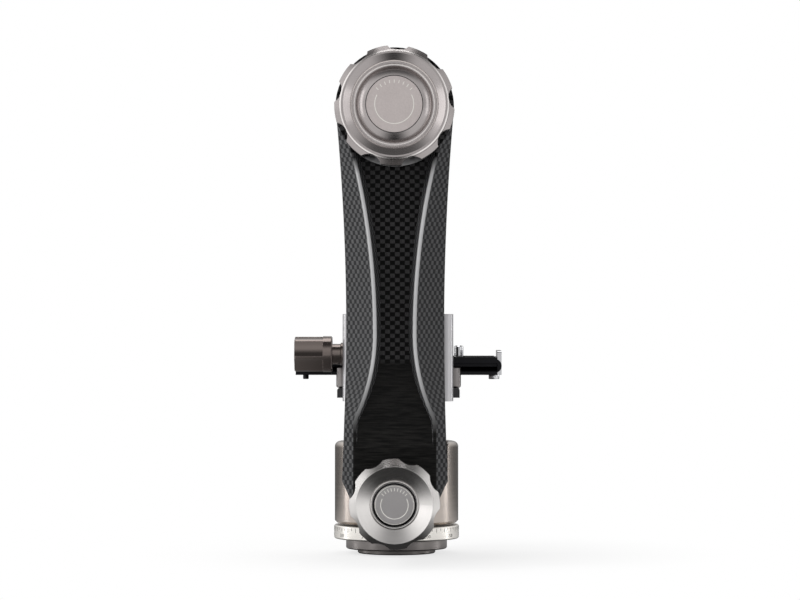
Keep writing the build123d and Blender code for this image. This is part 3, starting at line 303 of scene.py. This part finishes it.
def socket_screw(name, head, shank, depth, length, point, way, key):
    """Countersunk screw with its head at a point, its shank along a way, and a hexagon socket."""
    way = Vector(way)
    spin = way.to_track_quat("Z", "Y").to_euler()
    start = Vector(point) * mm
    screw = primitive("cone", name, vertices=32, radius1=head * mm, radius2=shank * mm, depth=depth * mm,
                      location=start + way * depth / 2 * mm, rotation=spin)
    shaft = primitive("cylinder", name, vertices=24, radius=shank * mm, depth=(length - depth) * mm,
                      location=start + way * (length + depth) / 2 * mm, rotation=spin)
    socket = primitive("cylinder", name, vertices=6, radius=key * mm, depth=2 * depth * 0.7 * mm,
                       location=start, rotation=spin)
    return join(name, [cut(screw, socket), shaft])


def screws_at(name, nodes, points, body, head, shank, depth, length, way, key, slot="dark_steel",
              finish=None):
    """One screw at each point, as one piece that stands for a CAD node."""
    made = [socket_screw(name, head, shank, depth, length, point, way, key) for point in points]
    return fit(join(name, made), finish or black_oxide, body, slot, *nodes)


def centres(name, quadrants):
    """Low and high corners of a node's box, in millimetres."""
    low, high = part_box(name)
    return low / mm, high / mm


low, high = centres("spindle_screws", 4)
ring = high.x - 3.8
screws_at("foot_screws", ["spindle_screws"], [(x, y, 0) for x in (-ring, ring) for y in (-ring, ring)], "base",
          3.8, 2.0, 2.2, high.z, (0, 0, 1), 1.45)

# ---- Degree ring: turned aluminium in lighter titanium grey, with laser-marked degrees.
# Long marks every 10 degrees, short ones every 5, and numbers every 30.

dress(turned("titanium anodised ring", "#EFEBE5", 0.28, "scale_ring", "Z"), "scale_ring")

laser_mark = bare(bpy.data.materials.new("laser mark"))
node(laser_mark, "OutputMaterial", {"Surface": node(laser_mark, "BsdfPrincipled", {
    "Base Color": linear("#E4E2DC"), "Roughness": 0.6,
    "Normal": node(laser_mark, "Bump", {"Height": node(laser_mark, "TexNoise", {
        "Vector": node(laser_mark, "TexCoord", {})["Object"], "Scale": 1 / (0.2 * mm)})["Fac"],
        "Strength": 0.3, "Distance": 0.01 * mm})[0]})[0]})
dark_mark = bare(bpy.data.materials.new("laser mark on titanium"))
node(dark_mark, "OutputMaterial", {"Surface": node(dark_mark, "BsdfPrincipled", {
    "Base Color": linear("#3B3937"), "Roughness": 0.6,
    "Normal": node(dark_mark, "Bump", {"Height": node(dark_mark, "TexNoise", {
        "Vector": node(dark_mark, "TexCoord", {})["Object"], "Scale": 1 / (0.2 * mm)})["Fac"],
        "Strength": 0.3, "Distance": 0.01 * mm})[0]})[0]})

low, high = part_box("scale_ring")
ring_radius, ring_top = high.x / mm, high.z / mm
ticks = []
for count, tall in ((36, 2.0), (72, 1.2)):
    tick = primitive("cube", "tick", size=mm, location=(ring_radius * mm, 0, (ring_top - 0.7 - tall / 2) * mm),
                     scale=(0.06, 0.22, tall))
    ticks.append(around(tick, count, (0, 0, 0), (0, 0, 1)))
fit(join("degree_marks", ticks), dark_mark, "base", "titanium")

numbers = []
for number in range(0, 360, 30):
    bpy.ops.object.text_add()
    text = bpy.context.object
    text.data.body, text.data.size, text.data.align_x = str(number), 2.3 * mm, "CENTER"
    text.data.extrude, text.data.resolution_u = 0.03 * mm, 3
    bpy.ops.object.convert(target="MESH")
    text = bpy.context.object
    for vertex in text.data.vertices:
        turn = radians(number) + vertex.co.x / ring_radius / mm
        out = ring_radius * mm + vertex.co.z
        vertex.co = (out * cos(turn), out * sin(turn), vertex.co.y + (ring_top - 5.2) * mm)
    numbers.append(text)
fit(join("degree_numbers", numbers), dark_mark, "base", "titanium")

# ---- Inside the housing: ground steel bearing rings and sleeve, the bright spindle and its ring nut.
# Little of it shows, so they keep plain turned finishes.

bright = turned("clear anodised spindle", "#C6C7C9", 0.3, "pan_spindle", "Z")
dress(bright, "pan_spindle", "spindle_locknut")
dress(turned("ground bearing steel", "#B5B5B7", 0.18, "pan_bearing_inners", "Z", stretch=0.6),
      "pan_bearing_inners", "pan_bearing_outers", "brake_sleeve")
dress(black_oxide, "bearing_circlip", "arm_bolts")

# ---- Housing: turned from one bar and anodised a warm gunmetal, with a white index mark.
# Its satin side shows two soft bright bands.

dress(turned("gunmetal anodised housing", "#B3AAA3", 0.24, "pan_housing", "Z"), "pan_housing")
low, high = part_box("pan_housing")
mark = primitive("cube", "index_mark", size=mm, location=(0, high.y, low.z + 3.4 * mm), scale=(0.5, 0.1, 3.2))
fit(mark, laser_mark, "pan_frame", "gunmetal")

# ---- Cap and level: a black cap with a round spirit level, its green fluid and bubble.
# The vial's rim is clear anodised; a black circle shows where the bubble belongs.


def blasted(name, colour, roughness, grain=0.35, edge=0.3, depth=0.03, metallic=1.0):
    """Bead-blasted and anodised aluminium: even fine grain, edges slightly rounded in the shading."""
    material = bare(bpy.data.materials.new(name))
    where = node(material, "TexCoord", {})["Object"]
    fine = node(material, "TexNoise", {"Vector": where, "Scale": 1 / (grain * mm), "Detail": 2.0})["Fac"]
    cloud = node(material, "TexNoise", {"Vector": where, "Scale": 1 / (12 * mm), "Detail": 3.0})["Fac"]
    shine = node(material, "MapRange", {"Value": cloud, "From Min": 0.3, "From Max": 0.7,
                                        "To Min": roughness * 0.9, "To Max": roughness * 1.12})["Result"]
    tone = node(material, "Mix", {0: fine, 6: [c * 0.8 for c in linear(colour)[:3]] + [1], 7: linear(colour)},
                data_type="RGBA")[2]
    round_edge = node(material, "Bevel", {"Radius": edge * mm}, samples=4)[0]
    relief = node(material, "Bump", {"Height": fine, "Strength": 0.35, "Distance": depth * mm,
                                     "Normal": round_edge})[0]
    body = node(material, "BsdfPrincipled", {"Base Color": tone, "Metallic": metallic, "Roughness": shine,
                                             "Normal": relief})[0]
    node(material, "OutputMaterial", {"Surface": body})
    return material


black_cap = blasted("black anodised cap", "#2B2B2D", 0.4)
dress(black_cap, "housing_cap")
low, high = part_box("bubble_level")
level_top, level_floor, level_radius = high.z / mm, low.z / mm, high.x / mm
rim = primitive("cylinder", "level_rim", vertices=64, radius=level_radius * mm,
                depth=(level_top - level_floor) * mm, location=(0, 0, (level_top + level_floor) / 2 * mm))
pick(rim, lambda c, n: n.z > 0.9)
shape("inset", thickness=0.9 * mm)
shape("extrude_region_move", TRANSFORM_OT_translate={"value": (0, 0, -1.2 * mm)})
done()
fit(rim, bright, "pan_frame", "bright_aluminium", "bubble_level")
fluid = bare(bpy.data.materials.new("spirit level fluid"))
depth = node(fluid, "TexNoise", {"Vector": node(fluid, "TexCoord", {})["Object"], "Scale": 1 / (4 * mm)})["Fac"]
node(fluid, "OutputMaterial", {"Surface": node(fluid, "BsdfPrincipled", {
    "Base Color": node(fluid, "Mix", {0: depth, 6: linear("#A9D42E"), 7: linear("#8DBE22")},
                       data_type="RGBA")[2],
    "Roughness": 0.08, "Coat Weight": 1.0, "Coat Roughness": 0.03})[0]})
vial = primitive("uv_sphere", "level_vial", segments=48, ring_count=24, radius=(level_radius - 1.0) * mm,
                 location=(0, 0, (level_top - 1.0) * mm), scale=(1, 1, 0.16))
fit(vial, fluid, "pan_frame", "level")
bubble_skin = bare(bpy.data.materials.new("air bubble"))
# painted light: the bubble is pale where it faces the view and darker green towards its rim
edge = node(bubble_skin, "LayerWeight", {"Blend": 0.4})["Facing"]
node(bubble_skin, "OutputMaterial", {"Surface": node(bubble_skin, "BsdfPrincipled", {
    "Base Color": node(bubble_skin, "Mix", {0: edge, 6: linear("#DDEFA0"), 7: linear("#5E8A14")},
                       data_type="RGBA")[2], "Roughness": 0.05, "Coat Weight": 1.0})[0]})
bubble = primitive("uv_sphere", "level_bubble", segments=32, ring_count=16, radius=1.5 * mm,
                   location=(0.3 * mm, 0.2 * mm, (level_top - 0.45) * mm), scale=(1, 1, 0.3))
fit(bubble, bubble_skin, "pan_frame", "level")
ring = primitive("torus", "level_circle", major_radius=2.1 * mm, minor_radius=0.09 * mm, major_segments=48,
                 minor_segments=6, location=(0, 0, (level_top - 0.29) * mm))
fit(ring, black_oxide, "pan_frame", "dark_steel")

# ---- Arm: carbon cloth, plain weave, laid in a mould and set in clear gloss resin.
# Tows are 2.0 to 2.3 mm wide. The cloth runs along each face; the two ridges carry a painted highlight, a pale band
# where their rounded edges catch the side light.

carbon = bare(bpy.data.materials.new("carbon cloth in gloss resin"))
tow_across, tow_along = 2.3, 2.0
spot = node(carbon, "VectorMath", {0: node(carbon, "TexCoord", {})["Object"], 1: (1000, 1000, 1000)},
            operation="MULTIPLY")[0]
at = node(carbon, "SeparateXYZ", {0: spot})
facing = node(carbon, "SeparateXYZ", {0: node(carbon, "VectorMath", {
    0: node(carbon, "TexCoord", {})["Normal"]}, operation="ABSOLUTE")[0]})
front = node(carbon, "Math", {0: facing["Y"], 1: 0.72}, operation="GREATER_THAN")[0]
level = node(carbon, "Math", {0: facing["Z"], 1: 0.72}, operation="GREATER_THAN")[0]
flank = node(carbon, "Math", {0: at["Y"], 1: 1.155}, operation="MULTIPLY")[0]
across = node(carbon, "Mix", {0: front, 2: flank, 3: at["X"]})[0]
across = node(carbon, "Mix", {0: level, 2: across, 3: at["X"]})[0]
# cloth on the ramp at the channel's foot lies in shorter steps
dip = node(carbon, "Math", {0: node(carbon, "Math", {0: at["Z"], 1: 92.0}, operation="SUBTRACT")[0], 1: 0.0},
           operation="MINIMUM")[0]
down = node(carbon, "Math", {0: node(carbon, "Math", {0: dip, 1: front}, operation="MULTIPLY")[0], 1: 0.887,
                             2: at["Z"]}, operation="MULTIPLY_ADD")[0]
along = node(carbon, "Mix", {0: level, 2: down, 3: at["Y"]})[0]
waves = []
for run, tow in ((across, tow_across), (along, tow_along)):
    phase = node(carbon, "Math", {0: run, 1: pi / tow}, operation="MULTIPLY")[0]
    waves.append(node(carbon, "Math", {0: phase}, operation="SINE")[0])
cells = node(carbon, "Math", {0: waves[0], 1: waves[1]}, operation="MULTIPLY")[0]
warp = node(carbon, "MapRange", {"Value": cells, "From Min": -0.12, "From Max": 0.2},
            interpolation_type="SMOOTHSTEP")["Result"]
lift = node(carbon, "Math", {0: node(carbon, "Math", {0: cells}, operation="ABSOLUTE")[0], 1: 0.5},
            operation="POWER")[0]
# single fibres are 0.007 mm; their bundles are drawn 0.16 mm wide so that they show
fibres = node(carbon, "TexNoise", {"Vector": node(carbon, "CombineXYZ", {0: across, 1: node(carbon, "Math", {
    0: along, 1: 0.08}, operation="MULTIPLY")[0]})[0], "Scale": 6.0, "Detail": 1.0}, noise_dimensions="2D")["Fac"]
facing_tone = node(carbon, "Mix", {0: warp, 6: linear("#000000"), 7: linear("#3B3A3B")}, data_type="RGBA")[2]
# painted sheen: the flanks get a lighter copy of the cloth, since there the tows lie across the light and both sets
# shine
sheen_side_tone = node(carbon, "Mix", {0: warp, 6: linear("#333334"), 7: linear("#585859")}, data_type="RGBA")[2]
sides = node(carbon, "Math", {0: 1.0, 1: front}, operation="SUBTRACT")[0]
cloth = node(carbon, "Mix", {0: sides, 6: facing_tone, 7: sheen_side_tone}, data_type="RGBA")[2]
cloth = node(carbon, "Mix", {0: node(carbon, "MapRange", {"Value": fibres, "From Min": 0.35, "From Max": 0.65,
                                                          "To Max": 0.35})["Result"],
                             6: cloth, 7: linear("#050505")}, data_type="RGBA")[2]
# the foot of the arm is wrapped in one-way tape, whose fibres run across and show as fine streaks
streaks = node(carbon, "TexNoise", {"Vector": node(carbon, "Mapping", {"Vector": spot, "Scale": (0.12, 1.4, 1.4)})[0],
                                    "Scale": 1.0, "Detail": 3.0})["Fac"]
tape = node(carbon, "Mix", {0: node(carbon, "MapRange", {"Value": streaks, "From Min": 0.35, "From Max": 0.7})[0],
                            6: linear("#080808"), 7: linear("#1F1E1D")}, data_type="RGBA")[2]
foot = node(carbon, "Math", {0: front, 1: node(carbon, "MapRange", {
    "Value": at["Z"], "From Min": 97.0, "From Max": 93.0})["Result"]}, operation="MULTIPLY")[0]
cloth = node(carbon, "Mix", {0: foot, 6: cloth, 7: tape}, data_type="RGBA")[2]
# painted highlight: a pale band along each ridge where its rounded edge catches the side light, fading out at the foot
# and under the knob
ridge_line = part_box("carbon_arm")[0].y / mm + 4
ridge_highlight = node(carbon, "MapRange", {"Value": at["Y"], "From Min": ridge_line + 0.6, "From Max": ridge_line + 0.03},
             interpolation_type="SMOOTHSTEP")["Result"]
high_up = node(carbon, "Math", {0: node(carbon, "MapRange", {
    "Value": at["Z"], "From Min": 62.0, "From Max": 92.0})["Result"], 1: node(carbon, "MapRange", {
        "Value": at["Z"], "From Min": 190.0, "From Max": 182.0})["Result"]}, operation="MULTIPLY")[0]
ridge_highlight = node(carbon, "Math", {0: ridge_highlight, 1: high_up}, operation="MULTIPLY")[0]
cloth = node(carbon, "Mix", {0: ridge_highlight, 6: cloth, 7: linear("#B9B9BA")}, data_type="RGBA")[2]
relief = node(carbon, "Bump", {"Height": lift, "Strength": node(carbon, "MapRange", {
    "Value": ridge_highlight, "To Min": 0.35, "To Max": 0.0})["Result"], "Distance": 0.25 * mm})[0]
resin = node(carbon, "BsdfPrincipled", {"Base Color": cloth, "Roughness": 0.5, "Normal": relief,
                                        "Specular IOR Level": 0.0, "Coat Weight": 0.12, "Coat Roughness": 0.15})[0]
node(carbon, "OutputMaterial", {"Surface": resin})
dress(carbon, "carbon_arm")

# ---- Pan lock: a brass shoe, its long screw and bush, and a lobed knob with a pressed-in cap.
# The knob is turned, its lobes are knurled across, and the cap is bead blasted.

dress(turned("clear anodised bush", "#B9BABB", 0.3, "pan_lock_bush", "Y"), "pan_lock_bush")
brass = turned("turned brass", "#C9A45C", 0.3, "pan_brake_shoe", "Y")
dress(brass, "pan_brake_shoe")
steel_screw = turned("rolled steel screw", "#A5A5A7", 0.3, "pan_lock_screw", "Y")
dress(steel_screw, "pan_lock_screw")
pan_metal = turned("titanium anodised pan knob", "#D8D5D3", 0.25, "pan_knob", "Y", stretch=0.15)
dress(pan_metal, "pan_knob")
dress(blasted("blasted cap of the pan knob", "#AFACAC", 0.5, metallic=0.6), "pan_knob_cap")


def knurl(name, metal, body, slot, height, front, radius, lobes, phase, teeth, length):
    """Teeth 0.9 mm apart along the lobes' outer faces, spun round one lobe and then round the knob."""
    pitch = 0.9 / radius
    turn = radians(phase) - pitch * (teeth - 1) / 2
    centre = (0, 0, height)
    tooth = primitive("cylinder", name, vertices=3, radius=0.42 * mm, depth=length * mm,
                      location=((radius - 0.2) * cos(turn) * mm, (front + length / 2) * mm,
                                (height + (radius - 0.2) * sin(turn)) * mm),
                      rotation=(pi / 2, pi / 2 - turn, 0))
    pick(tooth, lambda c, n: n.y < -0.9)
    shape("inset", thickness=0.12 * mm)
    shape("extrude_region_move", TRANSFORM_OT_translate={"value": (0, -0.15 * mm, 0)})
    done()
    around(tooth, teeth, centre, (0, 1, 0), turn=pitch * (teeth - 1) * 180 / pi)
    return fit(around(tooth, lobes, centre, (0, 1, 0)), metal, body, slot, angle=20)


def cap_marks(name, body, height, face, arc_radius, tick_radius):
    """Laser-marked arc round the foot of a cap and plain ticks over its top."""
    arc = primitive("cube", name, size=mm, location=(-arc_radius * cos(radians(28)) * mm, face * mm,
                                                     (height + arc_radius * sin(radians(28))) * mm),
                    rotation=(0, radians(28), 0), scale=(0.34, 0.06, 0.02))
    pick(arc, lambda c, n: n.z < -0.8)
    shape("spin", steps=48, angle=radians(236), center=(0, face * mm, height * mm), axis=(0, 1, 0))
    done()
    tick = primitive("cube", name, size=mm, location=(-tick_radius * sin(radians(48)) * mm, face * mm,
                                                      (height + tick_radius * cos(radians(48))) * mm),
                     rotation=(0, radians(-48), 0), scale=(0.3, 0.06, 1.5))
    around(tick, 9, (0, face, height), (0, 1, 0), turn=-96.0)
    return fit(join(name, [arc, tick]), laser_mark, body, "steel")


pan_height, pan_back = 29.6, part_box("pan_knob")[1].y / mm
knurl("pan_knob_knurl", pan_metal, "pan_lock", "titanium", pan_height, pan_back - 6.6, 20.9, 8, 4.7, 8, 6.2)
pan_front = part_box("pan_knob_cap")[0].y / mm
cap_marks("pan_cap_marks", "pan_lock", pan_height, pan_front, 6.3, 7.2)


def round_line(name, metal, body, slot, height, front, radius, thick):
    """Thin ring round a knob's axis: a joint, a metal ring, or a pale or dark ring painted as an edge's highlight or a
    groove's shade.
    """
    ring = primitive("torus", name, major_radius=radius * mm, minor_radius=thick * mm, major_segments=96,
                     minor_segments=8, rotation=(pi / 2, 0, 0), location=(0, front * mm, height * mm))
    return fit(ring, metal, body, slot)


# painted shade: a dark ring stands for the shade in the groove round the cap
round_line("pan_cap_groove_shade", black_oxide, "pan_lock", "dark_steel", pan_height, pan_front + 2.0, 9.75, 0.42)
round_line("pan_cap_rim", pan_metal, "pan_lock", "titanium", pan_height, pan_front + 1.75, 10.75, 0.45)
# painted highlight: a pale ring on the cap's chamfer for the light its edge catches
round_line("pan_cap_edge_highlight", laser_mark, "pan_lock", "steel", pan_height, pan_front + 0.25, 8.8, 0.13)

# ---- Tilt hub: bonded liner, two bearings on the spindle, and the lock that squeezes a fibre ring.

hub_metal = turned("clear anodised hub", "#B4B5B7", 0.3, "tilt_spindle", "Y")
dress(hub_metal, "tilt_hub_liner", "tilt_spindle", "tilt_spacer", "tilt_locknut")
dress(turned("ground bearing steel of the hub", "#B5B5B7", 0.18, "tilt_bearing_inners", "Y", stretch=0.6),
      "tilt_bearing_inners", "tilt_bearing_outers", "tilt_knob_bush")
dress(turned("gunmetal anodised disc", "#77716F", 0.3, "tilt_brake_disc", "Y"), "tilt_brake_disc")
dress(blasted("pressed fibre", "#4A3322", 0.8, grain=0.6, metallic=0.0), "friction_ring")
tilt_metal = turned("gunmetal anodised tilt knob", "#A8A2A1", 0.25, "tilt_knob", "Y", stretch=0.1, highlight_radii=(24.7, 19.9, 18.4))
dress(tilt_metal, "tilt_knob")
dress(blasted("blasted cap of the tilt knob", "#CBC2C0", 0.55, grain=0.6, depth=0.06, metallic=0.6), "tilt_knob_cap")

tilt_height, tilt_back = 213.0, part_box("tilt_knob")[1].y / mm
knurl("tilt_knob_knurl", tilt_metal, "tilt_lock", "gunmetal", tilt_height, tilt_back - 8.6, 27.45, 9, 26.7, 10, 8.2)
cap_marks("tilt_cap_marks", "tilt_lock", tilt_height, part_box("tilt_knob_cap")[0].y / mm, 8.9, 10.4)
round_line("tilt_cap_joint", black_oxide, "tilt_lock", "dark_steel", tilt_height,
           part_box("tilt_knob_cap")[0].y / mm, 13.05, 0.14)

# ---- Swing rail: an extruded dovetail bar, black anodised, with four black bolts and two stop screws.

black_metal = blasted("black anodised extrusion", "#323234", 0.34, metallic=0.4)
dress(black_metal, "swing_rail")
rail_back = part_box("swing_rail")[1].y / mm
reach = 15 * sin(radians(45))
screws_at("rail_screws", ["rail_bolts"],
          [(x, rail_back, tilt_height + z) for x in (-reach, reach) for z in (-reach, reach)],
          "swing_arm", 3.8, 2.0, 2.2, 13.5, (0, -1, 0), 1.45)


def button_screw(name, foot, top, head, shank, length, way, key):
    """Low round-edged screw that stands on a face, with a hexagon socket in its top."""
    way = Vector(way)
    spin = way.to_track_quat("Z", "Y").to_euler()
    foot, top = Vector(foot) * mm, Vector(top) * mm
    screw = primitive("cylinder", name, vertices=40, radius=head * mm, depth=(top - foot).length,
                      location=(foot + top) / 2, rotation=spin)
    modify(screw, "BEVEL", width=0.35 * mm, segments=3, limit_method="ANGLE")
    socket = primitive("cylinder", name, vertices=6, radius=key * mm, depth=1.6 * mm, location=top, rotation=spin)
    shaft = primitive("cylinder", name, vertices=24, radius=shank * mm, depth=length * mm,
                      location=foot - way * length / 2 * mm, rotation=spin)
    return join(name, [cut(screw, socket), shaft])


steel_finish = turned("steel stop screw", "#A5A5A7", 0.3, "rail_stop_screws", "Y")
low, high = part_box("rail_stop_screws")
stops = [button_screw("rail_stops", (0, rail_back, z / mm), (0, high.y / mm, z / mm), 2.6, 1.5, 4.9, (0, 1, 0), 1.2)
         for z in (low.z + 2.6 * mm, high.z - 2.6 * mm)]
fit(join("rail_stops", stops), steel_finish, "swing_arm", "steel", "rail_stop_screws")

# ---- Height clamp: milled and clear anodised, rounded along its edges, with steel guide pins.
# Its knob is dark bronze, fluted, with a bright turned end.

clear_metal = blasted("clear anodised clamp", "#BEBDBF", 0.35, edge=0.5, metallic=0.8)
dress(clear_metal, "height_clamp_body", "height_clamp_jaw")
dress(turned("ground pin", "#B5B5B7", 0.2, "height_guide_pins", "X"), "height_guide_pins")
bronze = turned("bronze anodised knob", "#736A66", 0.18, "height_knob", "X")
dress(bronze, "height_knob", "height_knob_collar")
dress(turned("steel clamp screw", "#A5A5A7", 0.3, "height_clamp_screw", "X"), "height_clamp_screw")

# ---- Platform and lens clamp: black bracket, grey clamp with one sliding jaw, and its bronze knob.

dress(black_metal, "platform")
wall_back, seat = -30.0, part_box("platform")[0].z / mm
screws_at("platform_screws", ["platform_bolts"],
          [(x, wall_back, z) for x in (-14, 14) for z in (89.85, 107.85)], "carriage", 3.8, 2.0, 2.2, 13.0,
          (0, -1, 0), 1.45)
screws_at("clamp_screws", ["clamp_bolts"], [(1.2 + x, y, seat) for x in (-12, 12) for y in (-13, 13)],
          "carriage", 3.8, 2.0, 2.2, 8.6, (0, 0, 1), 1.45)
dress(blasted("gunmetal anodised clamp", "#807C7B", 0.32, edge=0.5), "lens_clamp_body", "lens_clamp_jaw")
dress(turned("ground lens clamp pin", "#B5B5B7", 0.2, "lens_guide_pins", "Y"), "lens_guide_pins", "lens_clamp_screw")
dress(turned("bronze anodised lens knob", "#736A66", 0.18, "lens_knob", "Y"), "lens_knob")

# ---- Lens plate: black anodised dovetail with rubber strips, polished lip, pin and stop screws.

dress(blasted("black anodised plate", "#232325", 0.33), "lens_plate")
rubber = bare(bpy.data.materials.new("ribbed rubber"))
grit = node(rubber, "TexNoise", {"Vector": node(rubber, "TexCoord", {})["Object"], "Scale": 1 / (0.4 * mm)})["Fac"]
node(rubber, "OutputMaterial", {"Surface": node(rubber, "BsdfPrincipled", {
    "Base Color": linear("#1B1B1C"), "Roughness": 0.75,
    "Normal": node(rubber, "Bump", {"Height": grit, "Strength": 0.4, "Distance": 0.05 * mm})[0]})[0]})
low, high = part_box("plate_pads")
ribs = []
for middle in (-12.0, 12.0):
    pad = primitive("cube", "pad", size=mm, location=((low.x + high.x) / 2, middle * mm, low.z + 0.06 * mm),
                    scale=((high.x - low.x) / mm, 10.0, 0.12))
    pick(pad, lambda c, n: n.z > 0.9)
    shape("inset", thickness=0.3 * mm)
    done()
    rib = primitive("cube", "rib", size=mm, location=((low.x + high.x) / 2, (middle - 4.5) * mm, low.z + 0.15 * mm),
                    scale=((high.x - low.x) / mm - 0.4, 0.66, 0.3))
    pick(rib, lambda c, n: n.z > 0.9)
    shape("inset", thickness=0.15 * mm)
    done()
    modify(rib, "ARRAY", count=10, use_relative_offset=False, use_constant_offset=True,
           constant_offset_displace=(0, 1.0 * mm, 0))
    ribs += [pad, rib]
fit(join("ribbed_pads", ribs), rubber, "plate", "rubber", "plate_pads")
polished = bare(bpy.data.materials.new("polished plating"))
haze = node(polished, "TexNoise", {"Vector": node(polished, "TexCoord", {})["Object"], "Scale": 1 / (3 * mm)})["Fac"]
node(polished, "OutputMaterial", {"Surface": node(polished, "BsdfPrincipled", {
    "Base Color": linear("#C4C4C6"), "Metallic": 1.0,
    "Roughness": node(polished, "MapRange", {"Value": haze, "To Min": 0.06, "To Max": 0.14})["Result"],
    "Normal": node(polished, "Bevel", {"Radius": 0.3 * mm})[0]})[0]})
dress(polished, "plate_lip", "anti_twist_pin")
low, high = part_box("lip_screws")
screws_at("lip_fixings", ["lip_screws"], [(high.x / mm, y, 93.9) for y in (-12, 12)], "plate", 2.5, 1.25, 1.25, 8.0,
          (-1, 0, 0), 0.8)
low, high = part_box("stop_screws")
left_stop = button_screw("left_stop", (-44.4, 0, 87.4), (-44.4, 0, low.z / mm), 1.4, 1.0, 4.5, (0, 0, -1), 0.7)
right_stop = button_screw("right_stop", (47.7, 0, 87.4), (47.7, 0, low.z / mm), 2.6, 1.2, 4.5, (0, 0, -1), 1.2)
fit(left_stop, black_oxide, "plate", "dark_steel", "stop_screws")
fit(right_stop, polished, "plate", "chrome", "stop_screws")


def camera_screw(name, node_name, body, radius, pitch):
    """Camera screw: a slotted head under the plate and a rolled thread, its ridges at the helix angle."""
    low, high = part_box(node_name)
    x = (low.x + high.x) / 2 / mm
    foot, top = low.z / mm, high.z / mm
    head = primitive("cylinder", name, vertices=64, radius=6.6 * mm, depth=3.0 * mm,
                     location=(x * mm, 0, (foot + 1.5) * mm))
    modify(head, "BEVEL", width=0.3 * mm, segments=2, limit_method="ANGLE")
    slot = primitive("cube", name, size=mm, location=(x * mm, 0, foot * mm), scale=(14.0, 1.4, 2.4))
    core = primitive("cylinder", name, vertices=32, radius=(radius - 0.55 * pitch) * mm,
                     depth=(top - foot - 3.0) * mm, location=(x * mm, 0, (top + foot + 3.0) / 2 * mm))
    pieces = [cut(head, slot), core]
    lean = pitch / (2 * pi * radius)
    for step in range(int((top - foot - 3.6) / pitch)):
        middle = top - 0.35 - pitch * (step + 0.5)
        for side in (-1, 1):
            ends = {"radius1": radius * mm, "radius2": (radius - 0.58 * pitch) * mm}
            if side < 0:
                ends = {"radius1": ends["radius2"], "radius2": ends["radius1"]}
            pieces.append(primitive("cone", name, vertices=32, depth=pitch / 2 * mm, rotation=(lean, 0, 0),
                                    location=(x * mm, 0, (middle + side * pitch / 4) * mm), **ends))
    return fit(join(name, pieces), stud_steel, body, "steel", node_name)


stud_steel = turned("steel camera screw", "#B0B0B2", 0.25, "quarter_screw", "Z")
camera_screw("quarter_thread", "quarter_screw", "quarter_stud", 3.175, 1.27)
camera_screw("three_eighths_thread", "three_eighths_screw", "three_eighths_stud", 4.7625, 1.5875)
dress(stud_steel, "quarter_washer", "three_eighths_washer")
